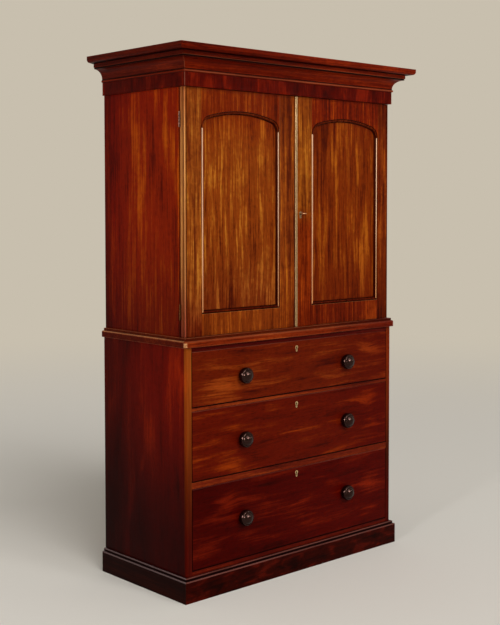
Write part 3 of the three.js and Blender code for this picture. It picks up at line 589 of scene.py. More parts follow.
# The ends of the band, on the sides, are painted darker as shade, and the board darkens towards the right
# end.
waist_side_shade_shares = (0.42, 0.3, 0.4)
waist_side_shade = [
    ("X", side * waist_half, side * (waist_half - easing), waist_side_shade_shares) for hand, side in hands
]
waist_wood = mahogany(
    "mahogany_waist_board", "#491004", "#752308", "#963c0f", grain="X", shift=(0.4, 0.6, 0.3),
    fades=[*waist_side_shade, ("X", 0.66, 0.1, (0.6, 0.35, 0.6))], wear_and_highlight_colour="#cf9c68",
)
low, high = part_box("waist_board")
waist_bottom = low.z + top_rail_height
band_top = waist_bottom + waist_band_height
shape = new_shape()
edges = add_board(shape, (low.x, low.y, waist_bottom), (high.x, high.y, band_top))
front_corners = [edge for edge in edges if along(edge, 2) and middle_of(edge).y < 0]
ease(shape, front_corners, waist_corner_radius, corner_segments, waist_corner_highlight)
for level, rounding in ((waist_bottom, waist_lower_rounding), (band_top, waist_upper_rounding)):
    rim = [
        edge
        for edge in shape.edges
        if abs(middle_of(edge).z - level) < easing
        and abs(edge.verts[0].co.z - edge.verts[1].co.z) < easing
        and middle_of(edge).y < high.y - easing
    ]
    ease(shape, rim, rounding, waist_rim_segments, waist_rim_highlight)
mark(
    shape, "wear_and_highlight", waist_side_highlight,
    lambda middle: (
        abs(middle.x) > chest_half + easing
        and middle.y > chest_front + easing
        and band_top - waist_upper_rounding / 2 < middle.z < band_top
    ),
)
step_half = chest_half + waist_step_projection
edges = add_board(
    shape, (-step_half, chest_front - waist_step_projection, band_top), (step_half, high.y, high.z),
)
rim = [edge for edge in edges if middle_of(edge).z > high.z - easing]
ease(shape, rim, arris_rounding, easing_segments, waist_step_highlight)
mark(shape, "painted_shade", waist_step_shade, lambda middle: band_top < middle.z < high.z - arris_rounding)
waist = make_piece(shape, "waist_board_moulded", waist_wood)
set_in(waist, "carcase", "waist_board")
top_rail_high = (rail_fit, chest_front + rail_depth, waist_bottom - joint_gap)
shape = eased_board((-rail_fit, chest_front, low.z), top_rail_high, easing)
top_rail = make_piece(shape, "waist_top_rail", rail_wood)
set_in(top_rail, "carcase", "waist_board")

# Drawers. Solid mahogany fronts with level, flamed grain are dovetailed to boxes of pale oak. Each has a
# brass keyhole escutcheon let in near its top.
escutcheon_head_radius = 0.008
escutcheon_leg_width = 0.009
escutcheon_height = 0.027
escutcheon_easing = 0.0005
keyhole_head_radius = 0.0038
keyhole_leg_width = 0.0044
keyhole_height = 0.018
keyhole_depth = 0.012
front_easing = 0.0024
arc_steps = 10


def arc(centre, radius, start, stop, steps=arc_steps):
    """Points of an arc from one angle to another, in degrees."""
    turns = [math.radians(start + (stop - start) * i / steps) for i in range(steps + 1)]
    return [(centre[0] + radius * math.cos(t), centre[1] + radius * math.sin(t)) for t in turns]


def keyhole_points(centre, head_radius, leg_width, height, play=0):
    """The outline of a keyhole: a round head and a leg with a round foot, with play all round."""
    x, z = centre
    head_radius += play
    height += 2 * play
    leg = (leg_width + 2 * play) / 2
    meet = math.degrees(math.acos(leg / head_radius))
    head = arc((x, z + height / 2 - head_radius), head_radius, -meet, 180 + meet, 2 * arc_steps)
    return head + arc((x, z - height / 2 + leg), leg, 180, 360)


def add_plate(shape, points, near, far):
    """Adds a plate with an outline of X and Z, between two places along Y."""
    face = shape.faces.new([shape.verts.new((x, near, z)) for x, z in points])
    made = bmesh.ops.extrude_face_region(shape, geom=[face])["geom"]
    moved = [vert for vert in made if isinstance(vert, bmesh.types.BMVert)]
    bmesh.ops.translate(shape, vec=(0, far - near, 0), verts=moved)


def draw_facing(points, near, far):
    shape = new_shape()
    add_plate(shape, points, near, far)
    return shape


def cut_away(piece, *cutters):
    """Cuts shapes out of a piece, and applies the cuts to its mesh."""
    tools = []
    for cutter in cutters:
        bmesh.ops.recalc_face_normals(cutter, faces=cutter.faces[:])
        mesh = bpy.data.meshes.new("cutter")
        cutter.to_mesh(mesh)
        cutter.free()
        tools.append(add_object("cutter", mesh))
        cut = piece.modifiers.new("cut", "BOOLEAN")
        cut.operation = "DIFFERENCE"
        cut.solver = "EXACT"
        cut.object = tools[-1]
    piece.modifiers.remove(piece.modifiers["flats"])
    view = bpy.context.evaluated_depsgraph_get()
    mesh = bpy.data.meshes.new_from_object(piece.evaluated_get(view))
    piece.modifiers.clear()
    piece.data = mesh
    for tool in tools:
        bpy.data.objects.remove(tool)
    return shade(piece)


def finish_solid(node, wood):
    """Gives a solid that is kept as it is the wood that the eye sees."""
    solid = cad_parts[node]
    solid.data.materials.clear()
    solid.data.materials.append(wood)


# Cast brass, and the steel of the key, polished and then left. A thin brown tarnish lies over the pale
# metal in patches, and its highlights are soft and broken.
def old_metal(name, bright, tarnish, roughness):
    material, tree, shader = new_material(name, {"Metallic": 1})
    place = add_node(tree, "TexCoord", {})
    patches = add_node(
        tree, "TexNoise",
        {"Vector": place.outputs["Object"], "Scale": 160, "Detail": 4, "Roughness": 0.6},
    )
    tones = add_node(tree, "ValToRGB", {"Fac": patches}, ((0.35, tarnish), (0.62, bright)))
    shine = {"To Min": roughness + 0.15, "To Max": roughness}
    dulled = add_node(tree, "MapRange", {"Value": patches, "From Min": 0.3, "From Max": 0.7, **shine})
    feed(shader, {"Base Color": tones, "Roughness": dulled})
    return material


escutcheon_brass = old_metal("brass_escutcheons", "#ecd0a0", "#a07844", 0.28)
flame_size = (0.045, 0.34)
drawer_figures = {
    1: {
        "dark": "#340704", "middle": "#5e1704", "light": "#913c0f", "turn": 1, "shift": (0.1, 0.4, 0.2),
        "swirls": ((0.44, 0.93, 0.09, 0.01), (-0.42, 0.82, 0.16, 0)),
        "fades": (("X", 0.58, 0.1, (0.78, 0.5, 0.5)),),
    },
    2: {
        "dark": "#2f0602", "middle": "#570f03", "light": "#8a3006", "turn": 2, "shift": (0.9, 0.8, 0.6),
        "swirls": ((0.44, 0.67, 0.09, 0.012), (-0.36, 0.5, 0.12, 0)),
        "fades": (("X", 0.58, 0.1, (0.76, 0.4, 0.4)),),
    },
    3: {
        "dark": "#270201", "middle": "#470401", "light": "#781b05", "turn": 1, "shift": (0.5, 0.1, 1.1),
        "swirls": ((-0.4, 0.37, 0.08, 0.01), (0.46, 0.3, 0.1, 0)),
        "fades": (("X", -0.5, 0.3, (0.68, 0.6, 0.8)),),
    },
}
oak = rough_wood("oak_drawer_linings", "#7a4a22", "#b5824a", "YX", 0.008, 0.2, 0.6)
for number, figure in drawer_figures.items():
    drawer = "drawer_" + str(number)
    wood = mahogany(
        "mahogany_" + drawer, grain="X", ribbons=0.2, clouds=0.55, cloud_size=flame_size, wear_and_highlight_colour="#7c4436",
        wander=0.03, contrast=0.62, **figure,
    )
    low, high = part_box(drawer + "_front")
    shape = eased_board(low, high, front_easing)
    # The lower and side arrises of each front, by the gaps, are painted dark as shade.
    mark(
        shape, "painted_shade", 1,
        lambda middle: (
            low.y < middle.y < low.y + front_easing
            and (middle.z < low.z + front_easing or abs(middle.x) > high.x - front_easing)
        ),
    )
    front = make_piece(shape, drawer + "_flamed_front", wood)
    plate_low, plate_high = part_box(drawer + "_escutcheon")
    centre = (0, (plate_low.z + plate_high.z) / 2)
    keyhole = (centre, keyhole_head_radius, keyhole_leg_width, keyhole_height)
    plate = (centre, escutcheon_head_radius, escutcheon_leg_width, escutcheon_height)
    cut_away(
        front,
        draw_facing(keyhole_points(*plate, joint_gap), low.y - joint_gap, plate_high.y + joint_gap),
        draw_facing(keyhole_points(*keyhole), low.y - joint_gap, low.y + keyhole_depth),
    )
    set_in(front, drawer, drawer + "_front")

    shape = draw_facing(keyhole_points(*plate), plate_high.y, plate_low.y)
    rim = [edge for edge in shape.edges if middle_of(edge).y < plate_low.y + joint_gap]
    ease(shape, rim, escutcheon_easing)
    escutcheon = make_piece(shape, drawer + "_brass_escutcheon", escutcheon_brass)
    cut_away(
        escutcheon,
        draw_facing(keyhole_points(*keyhole), plate_low.y - joint_gap, plate_high.y + joint_gap),
    )
    set_in(escutcheon, drawer, drawer + "_escutcheon")

    finish_solid(drawer + "_box", oak)

# Knobs. Each is turned from mahogany stained almost black and polished to a gloss: a low foot, a thick
# round rim, and a boss that rises from a groove in its face. A spigot holds it in the drawer front.
knob_radius = 0.033
knob_segments = 48
knob_foot_shares = [(0.0, 0.0), (0.65, 0.0), (0.66, 0.01), (0.66, 0.03), (0.64, 0.05)]
knob_back_shares = [(0.7, 0.058), (0.8, 0.072), (0.88, 0.095), (0.94, 0.13), (0.975, 0.18)]
knob_rim_shares = [(0.995, 0.25), (1.0, 0.33), (0.997, 0.4), (0.985, 0.47), (0.955, 0.545)]
knob_face_shares = [(0.91, 0.6), (0.87, 0.632), (0.84, 0.645), (0.82, 0.647), (0.8, 0.64)]
knob_boss_shares = [(0.785, 0.645), (0.765, 0.67), (0.72, 0.725), (0.66, 0.785), (0.58, 0.845)]
knob_crown_shares = [(0.49, 0.897), (0.38, 0.942), (0.26, 0.974), (0.13, 0.993), (0.0, 1.0)]
knob_profile_shares = (
    knob_foot_shares
    + knob_back_shares
    + knob_rim_shares
    + knob_face_shares
    + knob_boss_shares
    + knob_crown_shares
)


def spin(shape, outline, centre, axis, steps):
    """Spins an outline a full turn into a closed skin."""
    bmesh.ops.spin(
        shape, geom=outline, cent=centre, axis=axis, angle=math.radians(360), steps=steps, use_merge=True,
    )
    bmesh.ops.remove_doubles(shape, verts=shape.verts[:], dist=easing / 100)


def turn_profile(shape, centre, profile, segments):
    """Turns a profile of radii and places along Y about a level axis through a centre."""
    axis = Vector((centre[0], 0, centre[1]))
    verts = [shape.verts.new(axis + Vector((radius, y, 0))) for radius, y in profile]
    lines = [shape.edges.new(pair) for pair in zip(verts, verts[1:])]
    spin(shape, verts + lines, axis, (0, 1, 0), segments)


# Mahogany stained black under a gloss of French polish. Only a little red is left in its grain, and the
# windows of the room show in it as small clear lights.
knob_stain, tree, shader = new_material(
    "mahogany_knobs_stained_black",
    {"Roughness": 0.16, "Specular IOR Level": 0.36, "Specular Tint": linear("#ffc0b0")},
)
place = add_node(tree, "TexCoord", {})
rings = add_node(
    tree, "TexNoise", {"Vector": place.outputs["Object"], "Scale": 90, "Detail": 3, "Distortion": 0.4},
)
tones = add_node(tree, "ValToRGB", {"Fac": rings}, ((0.42, "#040101"), (0.75, "#180403")))
feed(shader, {"Base Color": tones})
for number in drawer_figures:
    drawer = "drawer_" + str(number)
    for hand, side in hands:
        node = drawer + "_" + hand + "_knob"
        low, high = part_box(node)
        reach = chest_front - low.y
        shape = new_shape()
        turn_profile(
            shape, ((low.x + high.x) / 2, (low.z + high.z) / 2),
            [(out * knob_radius, chest_front - up * reach) for out, up in knob_profile_shares],
            knob_segments,
        )
        knob = make_piece(shape, drawer + "_" + hand + "_turned_knob", knob_stain)
        set_in(knob, drawer, node)

# Cupboard sides. Mahogany boards with upright grain stand on the waist board. A bead is worked along the
# outer front edge of each, broken by the hinges, and four grooves inside carry the trays.
side_bead_radius = 0.0075
side_bead_shade = 0.7
quirk_width = 0.0015
cut_play = 0.002
hinge_length = 0.060
hinge_leaf_width = 0.018
hinge_leaf_thickness = 0.002
tongue_thickness = 0.010
groove_stop = 0.010
tray_numbers = range(1, 5)


def draw_plan(points, low, high):
    """A board with an outline of X and Y, between two levels."""
    shape = new_shape()
    shape.faces.new([shape.verts.new((x, y, 0)) for x, y in points])
    return carry(shape, lambda x, y, end: (x, y, low + end * (high - low)))


def corner_bead(side, outer, face, radius, quirk_in_front):
    """Points of a bead round an outer corner, with a quirk behind it and, if asked, one in front."""
    centre = (outer - radius, -face - radius)
    dip = radius * math.sqrt(0.5)
    stop = 135 if quirk_in_front else 90
    points = [(outer, centre[1] - dip - quirk_width)]
    points += arc(centre, radius, -45, stop, 2 * arc_steps)
    if quirk_in_front:
        points += [(centre[0] - dip - quirk_width, -face)]
    return [(side * x, -depth) for x, depth in points]


def box_cutter(low, high):
    """A block to cut away with, its limits in any order."""
    shape = bmesh.new()
    lowest = [min(pair) for pair in zip(low, high)]
    highest = [max(pair) for pair in zip(low, high)]
    add_board(shape, lowest, highest)
    return shape


def leaf_rooms(hand, leaf, outer, face, inwards):
    """Blocks to cut away for two hinge leaves. inwards is 1 or -1: the way along Y into the wood."""
    side = dict(hands)[hand]
    bed = face + inwards * hinge_leaf_thickness + inwards * joint_gap
    rooms = []
    for level in ("upper", "lower"):
        low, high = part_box(hand + "_" + level + "_hinge_" + leaf + "_leaf")
        edge = outer - hinge_leaf_width - joint_gap
        near = (side * edge, face - inwards * cut_play, low.z - joint_gap)
        rooms.append(box_cutter(near, (side * (outer + cut_play), bed, high.z + joint_gap)))
    return rooms


# Painted shade: the sides darken towards the bottom, the top and the back. A narrow strip at the back is
# darker too.
cupboard_fades = (
    ("Z", 1.0, 1.5, (0.5, 0.4, 0.4)),
    ("Z", 2.0, 1.8, (0.95, 0.7, 0.6)),
    ("Y", 0.31, 0.02, (0.6, 0.2, 0.1)),
    ("Y", 0.27, 0.255, (0.55, 0.4, 0.4)),
)
cupboard_side_shifts = {"left": (0.7, 0.2, 0.1), "right": (1.5, 0.8, 0.6)}
for hand, side in hands:
    node = "upper_" + hand + "_side"
    low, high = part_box(node)
    inner, outer = sorted((abs(low.x), abs(high.x)))
    plan = [(side * inner, high.y), (side * outer, high.y)]
    plan += corner_bead(side, outer, low.y, side_bead_radius, False)
    plan += [(side * inner, low.y)]
    shape = draw_plan(plan, low.z, high.z)
    # The bead along the front edge is painted dark as shade.
    mark(shape, "painted_shade", side_bead_shade, lambda middle: middle.y < low.y + side_bead_radius)
    side_wood = mahogany(
        "mahogany_cupboard_" + hand + "_side", "#520a02", "#861f03", "#b65009",
        shift=cupboard_side_shifts[hand], clouds=0.45, ribbons=0.25, cloud_size=(0.12, 0.6),
        fades=cupboard_fades,
    )
    board = make_piece(shape, "cupboard_" + hand + "_side", side_wood)
    cutters = leaf_rooms(hand, "carcase", outer, low.y, 1)
    for number in tray_numbers:
        tray_low, tray_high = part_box("tray_" + str(number))
        tongue = max(abs(tray_low.x), abs(tray_high.x)) + joint_gap
        groove_low = (side * (inner - cut_play), low.y - cut_play, tray_low.z - joint_gap)
        groove_top = tray_low.z + tongue_thickness + joint_gap
        cutters.append(box_cutter(groove_low, (side * tongue, high.y - groove_stop, groove_top)))
    cut_away(board, *cutters)
    set_in(board, "carcase", node)

# Top and bottom of the cupboard. Plain mahogany boards stand between its sides. They show only when the
# doors are open, so they were polished thinly and are dull.
inside_wood = mahogany(
    "mahogany_inside_boards", "#431508", "#62260f", "#83401c", grain="X", shift=(0.3, 1.1, 0.8),
    roughness=0.5,
)
for node, name in (("upper_top", "cupboard_top_board"), ("upper_bottom", "cupboard_bottom_board")):
    low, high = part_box(node)
    board = make_piece(eased_board(low, high, easing), name, inside_wood)
    set_in(board, "carcase", node)

# Linen trays. Four open trays of pale oak slide on tongues in the grooves of the cupboard. Their sides
# sweep down to a low front, so that the linen can be seen and lifted out.
for number in tray_numbers:
    finish_solid("tray_" + str(number), oak)

# Doors. Each is a mahogany frame of two stiles and two rails, veneered so that the grain runs upright all
# round, with a bead between two quirks along its hinged edge. The top rail is cut to a depressed arch.
stile_bead_radius = 0.0055
quirk_back, bead_back, bead_front, quirk_front = -60, 0, 75, 160
edge_highlight = 0.6
quirk_shade = 0.5
meeting_shade = 0.9
bead_highlight = {"left": 0.85, "right": 1.3}
touch = 0.0001
panel_opening_width = 0.421
rail_over_arch = 0.080
arch_rise = 0.074
haunch_share = 0.7
arch_blunt = 0.0015
rebate_width = 0.008
rebate_depth = 0.014
door_easing = 0.0013
arch_steps = 14
panel_thickness = 0.009
bead_bed = 0.008
bead_quirk = 0.003
bead_radius = 0.0035
bead_steps = 8
hollow_falls = ((0.0007, 0.003), (0.0011, 0.0028), (0.0022, 0.0022))
hollow_shade = 0.7
lock_case_thickness = 0.014
lock_wall = 0.0025
bush_head_radius = 0.009
bush_leg_width = 0.010
bush_height = 0.030
bolt_throw = 0.009
keeper_play = 0.001

lock_low, lock_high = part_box("door_lock")
bolt_low, bolt_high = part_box("door_lock_bolt")
key_low, key_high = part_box("door_key")
key_x = (key_low.x + key_high.x) / 2
key_z = (key_low.z + key_high.z) / 2
case_front = lock_high.y - lock_case_thickness
bush_centre = (key_x, key_z + bush_head_radius - bush_height / 2)
bush_form = (bush_centre, bush_head_radius, bush_leg_width, bush_height)
opening_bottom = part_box("left_door_bottom_rail")[1].z
opening_half = panel_opening_width / 2
arch_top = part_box("left_door_top_rail")[1].z - rail_over_arch
arch_spring = arch_top - arch_rise
haunch_radius = arch_rise * haunch_share
haunch_reach = opening_half - haunch_radius
crown_radius = (haunch_reach**2 + arch_rise**2 - haunch_radius**2) / (2 * (arch_rise - haunch_radius))
haunch_angle = math.degrees(math.atan2(crown_radius - arch_rise, haunch_reach))
toe_angle = math.degrees(math.acos((haunch_radius - arch_blunt) / haunch_radius))


def arch_points(centre, inset, toe):
    """The depressed arch from its right foot to its left: two haunches with a flatter crown between."""
    right = (centre + haunch_reach, arch_spring)
    left = (centre - haunch_reach, arch_spring)
    crown = (centre, arch_top - crown_radius)
    points = arc(right, haunch_radius - inset, toe, haunch_angle, arch_steps)
    points += arc(crown, crown_radius - inset, haunch_angle, 180 - haunch_angle, arch_steps)[1:]
    points += arc(left, haunch_radius - inset, 180 - haunch_angle, 180 - toe, arch_steps)[1:]
    return points


door_tones = {
    "left_hinge_stile": ("#632509", "#8f4612", "#be7827", (0.1, 0.2, 0.3), 1.6),
    "left_meeting_stile": ("#541b06", "#83380c", "#b46417", (0.9, 0.4, 0.7), 1.4),
    "left_top_rail": ("#420d02", "#6c1e04", "#9d460e", (0.4, 0.9, 0.2), 0.85),
    "left_bottom_rail": ("#4b1704", "#783009", "#aa5614", (1.3, 0.1, 0.5), 1),
    "right_meeting_stile": ("#5e2205", "#8f470e", "#bd731f", (0.6, 1.1, 0.9), 1.4),
    "right_hinge_stile": ("#3f0e02", "#692204", "#98450e", (0.2, 0.5, 1.2), 1.25),
    "right_top_rail": ("#420a02", "#6e1902", "#a13e07", (1.1, 0.7, 0.4), 1.3),
    "right_bottom_rail": ("#3a0a02", "#611703", "#923709", (0.8, 1.3, 0.1), 1),
}
# Painted shade: the stiles darken at the top, under the cornice, and towards the bottom, and two of them
# more towards the bottom. Except on the left hinge stile, the pale marks of wear and painted highlight
# fade to a share lower down.
stile_shade_fades = (("Z", 2.0, 1.75, (0.68, 0.5, 0.5)), ("Z", 1.03, 1.35, (0.68, 0.5, 0.5)))
own_fades = {
    "left_hinge_stile": (("Z", 1.05, 1.3, (0.6, 0.38, 0.62)),),
    "right_meeting_stile": (("Z", 1.44, 1.55, (0.82, 0.4, 0.32)),),
}
door_woods = {
    name: mahogany(
        "mahogany_" + name, dark, middle, light, shift=shift, contrast=contrast,
        fades=stile_shade_fades * ("stile" in name) + own_fades.get(name, ()), wear_and_highlight_colour="#d89456",
        wear_and_highlight_fade=None if name == "left_hinge_stile" else (1.05, 1.6, 0.4),
    )
    for name, (dark, middle, light, shift, contrast) in door_tones.items()
}
figure_size = (0.045, 0.5)
# The fades paint each panel darker towards the bottom and the top, as shade.
panel_figures = {
    "left": {
        "dark": "#4c1404", "middle": "#83370a", "light": "#bb6f1e", "shift": (0.25, 0.75, 0.45),
        "clouds": 0.35, "contrast": 1.05,
        "fades": (("Z", 1.1, 1.5, (0.68, 0.55, 0.9)), ("Z", 1.95, 1.7, (0.77, 0.45, 0.35))),
    },
    "right": {
        "dark": "#410d02", "middle": "#752904", "light": "#ac5a11", "shift": (0.65, 0.15, 0.95),
        "clouds": 0.4, "fades": (("Z", 1.1, 1.5, (0.75, 0.6, 0.8)), ("Z", 1.95, 1.7, (0.8, 0.62, 0.65))),
    },
}
panel_woods = {
    hand: mahogany(
        "mahogany_" + hand + "_panel", ribbons=0.25, cloud_size=figure_size, wander=0.02, **figure,
    )
    for hand, figure in panel_figures.items()
}
# The bead is painted pale as a highlight on its uprights, and darker towards the bottom as shade.
panel_bead_wood = mahogany(
    "mahogany_panel_beads", "#310b04", "#511705", "#712d0d", shift=(0.3, 0.4, 0.8),
    fades=(("Z", 1.1, 1.6, (0.75, 0.5, 0.3)),), wear_and_highlight_colour="#ffcfa6", roughness=0.3,
)


def on_stile_bead(middle, start, stop):
    """Whether a place is on the bead or in its quirks, between two angles: 0 outwards, 90 forwards."""
    across = abs(middle.x) - outer + stile_bead_radius
    ahead = door_face + stile_bead_radius - middle.y
    near = math.hypot(across, ahead) < stile_bead_radius + quirk_width
    return near and start < math.degrees(math.atan2(ahead, across)) < stop


def cut_rebate(start, stop, bottom, top):
    """A block to cut away for the rebate of the panel, between two places along X."""
    return box_cutter((start, rebate_front, bottom), (stop, door_back + cut_play, top))


def take_door_piece(piece, hand, part):
    """Puts a piece of a door frame on its door, in place of the plain solid."""
    set_in(piece, hand + "_door", hand + "_door_" + part)


for hand, side in hands:
    low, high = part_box(hand + "_door_hinge_stile")
    door_face, door_back = low.y, high.y
    door_low, door_high = low.z, high.z
    hinge_line, outer = sorted((abs(low.x), abs(high.x)))
    meeting_low, meeting_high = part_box(hand + "_door_meeting_stile")
    meeting_edge, meeting_line = sorted((abs(meeting_low.x), abs(meeting_high.x)))
    panel_centre = side * (hinge_line - opening_half)
    rebate_low = opening_bottom - rebate_width
    rebate_high = arch_top + rebate_width
    rebate_front = door_back - rebate_depth

    plan = [(side * hinge_line, door_back), (side * outer, door_back)]
    plan += corner_bead(side, outer, door_face, stile_bead_radius, True)
    plan += [(side * hinge_line, door_face)]
    shape = draw_plan(plan, door_low, door_high)
    # The outer edge and the bead are painted pale as highlights, as the light from the left falls on
    # them, and both quirks are painted dark as shade.
    mark(shape, "wear_and_highlight", edge_highlight, lambda middle: abs(middle.x) > outer - touch)
    mark(shape, "wear_and_highlight", 1, lambda middle: on_stile_bead(middle, bead_back, bead_front))
    mark(shape, "painted_shade", quirk_shade, lambda middle: on_stile_bead(middle, quirk_back, bead_back))
    mark(shape, "painted_shade", quirk_shade, lambda middle: on_stile_bead(middle, bead_front, quirk_front))
    stile = make_piece(shape, hand + "_hinge_stile_beaded", door_woods[hand + "_hinge_stile"])
    start, stop = side * (hinge_line - cut_play), side * (hinge_line + rebate_width)
    rebate = cut_rebate(start, stop, rebate_low, rebate_high)
    cut_away(stile, rebate, *leaf_rooms(hand, "door", outer, door_back, -1))
    take_door_piece(stile, hand, "hinge_stile")

    shape = eased_board(meeting_low, meeting_high, door_easing, chosen=lambda edge: along(edge, 2))
    # The front arris at the meeting edge is painted dark as shade.
    mark(
        shape, "painted_shade", meeting_shade,
        lambda middle: abs(middle.x) < meeting_edge + door_easing and middle.y < door_face + door_easing,
    )
    stile = make_piece(shape, hand + "_meeting_stile_squared", door_woods[hand + "_meeting_stile"])
    start, stop = side * (meeting_line + cut_play), side * (meeting_line - rebate_width)
    cutters = [cut_rebate(start, stop, rebate_low, rebate_high)]
    if hand == "right":
        bush_room = keyhole_points(*bush_form, joint_gap)
        cutters += [
            box_cutter(
                (meeting_edge - cut_play, case_front - joint_gap, lock_low.z - joint_gap),
                (lock_high.x + joint_gap, door_back + cut_play, lock_high.z + joint_gap),
            ),
            draw_facing(bush_room, case_front + joint_gap, door_face - cut_play),
        ]
    else:
        keeper_low = (cut_play - meeting_edge, door_back + cut_play, bolt_low.z - keeper_play)
        keeper_end = -meeting_edge - bolt_throw - keeper_play
        keeper_high = (keeper_end, bolt_low.y - keeper_play, bolt_high.z + keeper_play)
        cutters.append(box_cutter(keeper_low, keeper_high))
    take_door_piece(cut_away(stile, *cutters), hand, "meeting_stile")

    left_fit = min(side * meeting_line, side * hinge_line) + joint_gap
    right_fit = max(side * meeting_line, side * hinge_line) - joint_gap
    toe_level = arch_spring + haunch_radius * math.sin(math.radians(toe_angle))
    outline = [(left_fit, toe_level), (left_fit, door_high), (right_fit, door_high)]
    outline += [(right_fit, toe_level)] + arch_points(panel_centre, 0, toe_angle)
    shape = draw_facing(outline, door_back, door_face)
    rail = make_piece(shape, hand + "_top_rail_arched", door_woods[hand + "_top_rail"])
    start, stop = left_fit - cut_play, right_fit + cut_play
    rebate = cut_rebate(start, stop, arch_spring, rebate_high)
    take_door_piece(cut_away(rail, rebate), hand, "top_rail")

    rail_low, rail_high = (left_fit, door_face, door_low), (right_fit, door_back, opening_bottom)
    shape = eased_board(rail_low, rail_high, door_easing, chosen=lambda edge: along(edge, 0))
    rail = make_piece(shape, hand + "_bottom_rail_squared", door_woods[hand + "_bottom_rail"])
    rebate = cut_rebate(start, stop, rebate_low, opening_bottom + cut_play)
    take_door_piece(cut_away(rail, rebate), hand, "bottom_rail")

    # Door panel. A flat mahogany board of fine upright figure stands in the rebate, and a mitred
    # moulding frames it: a quirk next to the frame, a polished bead and a hollow down to the panel.
    board_low, board_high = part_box(hand + "_door_panel")
    field = board_high.y - panel_thickness
    shape = new_shape()
    add_board(shape, (board_low.x, field + panel_thickness / 2 + touch, board_low.z), board_high)
    board = make_piece(shape, hand + "_panel_board", panel_woods[hand])
    take_door_piece(board, hand, "panel")

    outline = [
        (panel_centre - opening_half + joint_gap, opening_bottom + joint_gap),
        (panel_centre + opening_half - joint_gap, opening_bottom + joint_gap),
    ] + arch_points(panel_centre, joint_gap, 0)
    shape = new_shape()
    flat = shape.faces.new([shape.verts.new((x, field + panel_thickness / 2, z)) for x, z in outline])
    made = bmesh.ops.extrude_face_region(shape, geom=[flat])["geom"]
    front_face = next(face for face in made if isinstance(face, bmesh.types.BMFace))
    bmesh.ops.translate(shape, vec=(0, -panel_thickness / 2 - bead_bed, 0), verts=front_face.verts[:])
    bmesh.ops.recalc_face_normals(shape, faces=shape.faces[:])
    steps = [(bead_quirk - joint_gap, 0)]
    turns = [math.radians(180 * i / bead_steps) for i in range(bead_steps + 1)]
    for before, after in zip(turns, turns[1:]):
        run = bead_radius * (math.cos(before) - math.cos(after))
        steps.append((run, bead_radius * (math.sin(after) - math.sin(before))))
    steps += [(run, -fall) for run, fall in hollow_falls]
    wear_and_highlight = shape.loops.layers.float["wear_and_highlight"]
    painted_shade = shape.loops.layers.float.new("painted_shade")
    for i, (run, rise) in enumerate(steps):
        band = bmesh.ops.inset_region(
            shape, faces=[front_face], thickness=run, depth=rise, use_boundary=True, use_even_offset=True,
        )["faces"]
        for face in band:
            lengths = [edge.calc_length() for edge in face.edges]
            widths = [abs(edge.verts[0].co.x - edge.verts[1].co.x) for edge in face.edges]
            # The upright runs of the bead are painted pale as highlights, and the quirk and the hollow
            # dark as shade.
            upright = max(lengths) > arch_rise > max(widths)
            for loop in face.loops:
                loop[wear_and_highlight] = bead_highlight[hand] if upright and 1 < i < bead_steps - 1 else 0
                loop[painted_shade] = 1 if i == 0 else hollow_shade if i > bead_steps else 0
    for face in shape.faces:
        face.material_index = 1
    front_face.material_index = 0
    moulding = make_piece(shape, hand + "_panel_and_bead", panel_woods[hand], panel_bead_wood)
    take_door_piece(moulding, hand, "panel")

# Brass strip. A drawn brass bar is pinned to the edge of the right door and covers the gap where the
# doors meet. Its front edges are slightly rounded, and it has an even, dull polish.
strip_easing = 0.0009
strip_segments = 3
low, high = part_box("meeting_strip")
shape = eased_board(
    low, high, strip_easing, segments=strip_segments,
    chosen=lambda edge: along(edge, 2) and middle_of(edge).y < low.y + joint_gap,
)
strip_brass = old_metal("brass_meeting_strip", "#a78864", "#91724a", 0.35)
strip = make_piece(shape, "brass_meeting_strip", strip_brass)
set_in(strip, "right_door", "meeting_strip")

# Lock. A brass case is let into the back of the right door and screwed there. A bush lines the keyhole at
# the front, and the bolt slides out of the case into a notch in the edge of the left door.
bit_reach = 0.007
bit_play = 0.0008
bit_thickness = 0.0024
shank_radius = 0.0026
key_play = 0.0007
bolt_play = 0.0003
metal_easing = 0.0004
screw_radius = 0.0026
screw_slot = 0.0007
screw_proud = 0.00015
screw_depth = 0.0005
lock_screw_inset = 0.005
lock_screw_turn = 30
lock_screw_turn_per_metre = 4000
aged_brass = old_metal("brass_aged", "#7d6b52", "#4a3c2a", 0.45)


def add_screw(shape, x, z, face, outward, turn):
    """The head of a screw let into a face: two halves with the slot between them."""
    edge = math.degrees(math.asin(screw_slot / 2 / screw_radius))
    for half in (turn, turn + 180):
        points = arc((x, z), screw_radius, half + edge, half + 180 - edge)
        add_plate(shape, points, face + outward * screw_proud, face - outward * screw_depth)


shape = eased_board((lock_low.x, case_front, lock_low.z), lock_high, metal_easing)
case = make_piece(shape, "lock_case_brass", aged_brass)
bit_room = new_shape()
turn_profile(
    bit_room, (key_x, key_z),
    [
        (0, case_front + lock_wall),
        (bit_reach + bit_play, case_front + lock_wall),
        (bit_reach + bit_play, lock_high.y - lock_wall),
        (0, lock_high.y - lock_wall),
    ],
    knob_segments,
)
way_radius = shank_radius + key_play
way_height = way_radius + bit_reach + bit_play
key_way = keyhole_points(
    (key_x, key_z + way_radius - way_height / 2), way_radius, bit_thickness + bit_play, way_height
)
bolt_way = box_cutter(
    (lock_low.x - cut_play, bolt_low.y - bolt_play, bolt_low.z - bolt_play),
    (bolt_high.x + bolt_play, bolt_high.y + bolt_play, bolt_high.z + bolt_play),
)
cut_away(
    case, bit_room, draw_facing(key_way, case_front + 2 * lock_wall, case_front - cut_play), bolt_way,
)
bush_back = case_front - joint_gap / 3
shape = draw_facing(keyhole_points(*bush_form), bush_back, lock_low.y)
rim = [edge for edge in shape.edges if middle_of(edge).y < lock_low.y + joint_gap]
ease(shape, rim, metal_easing)
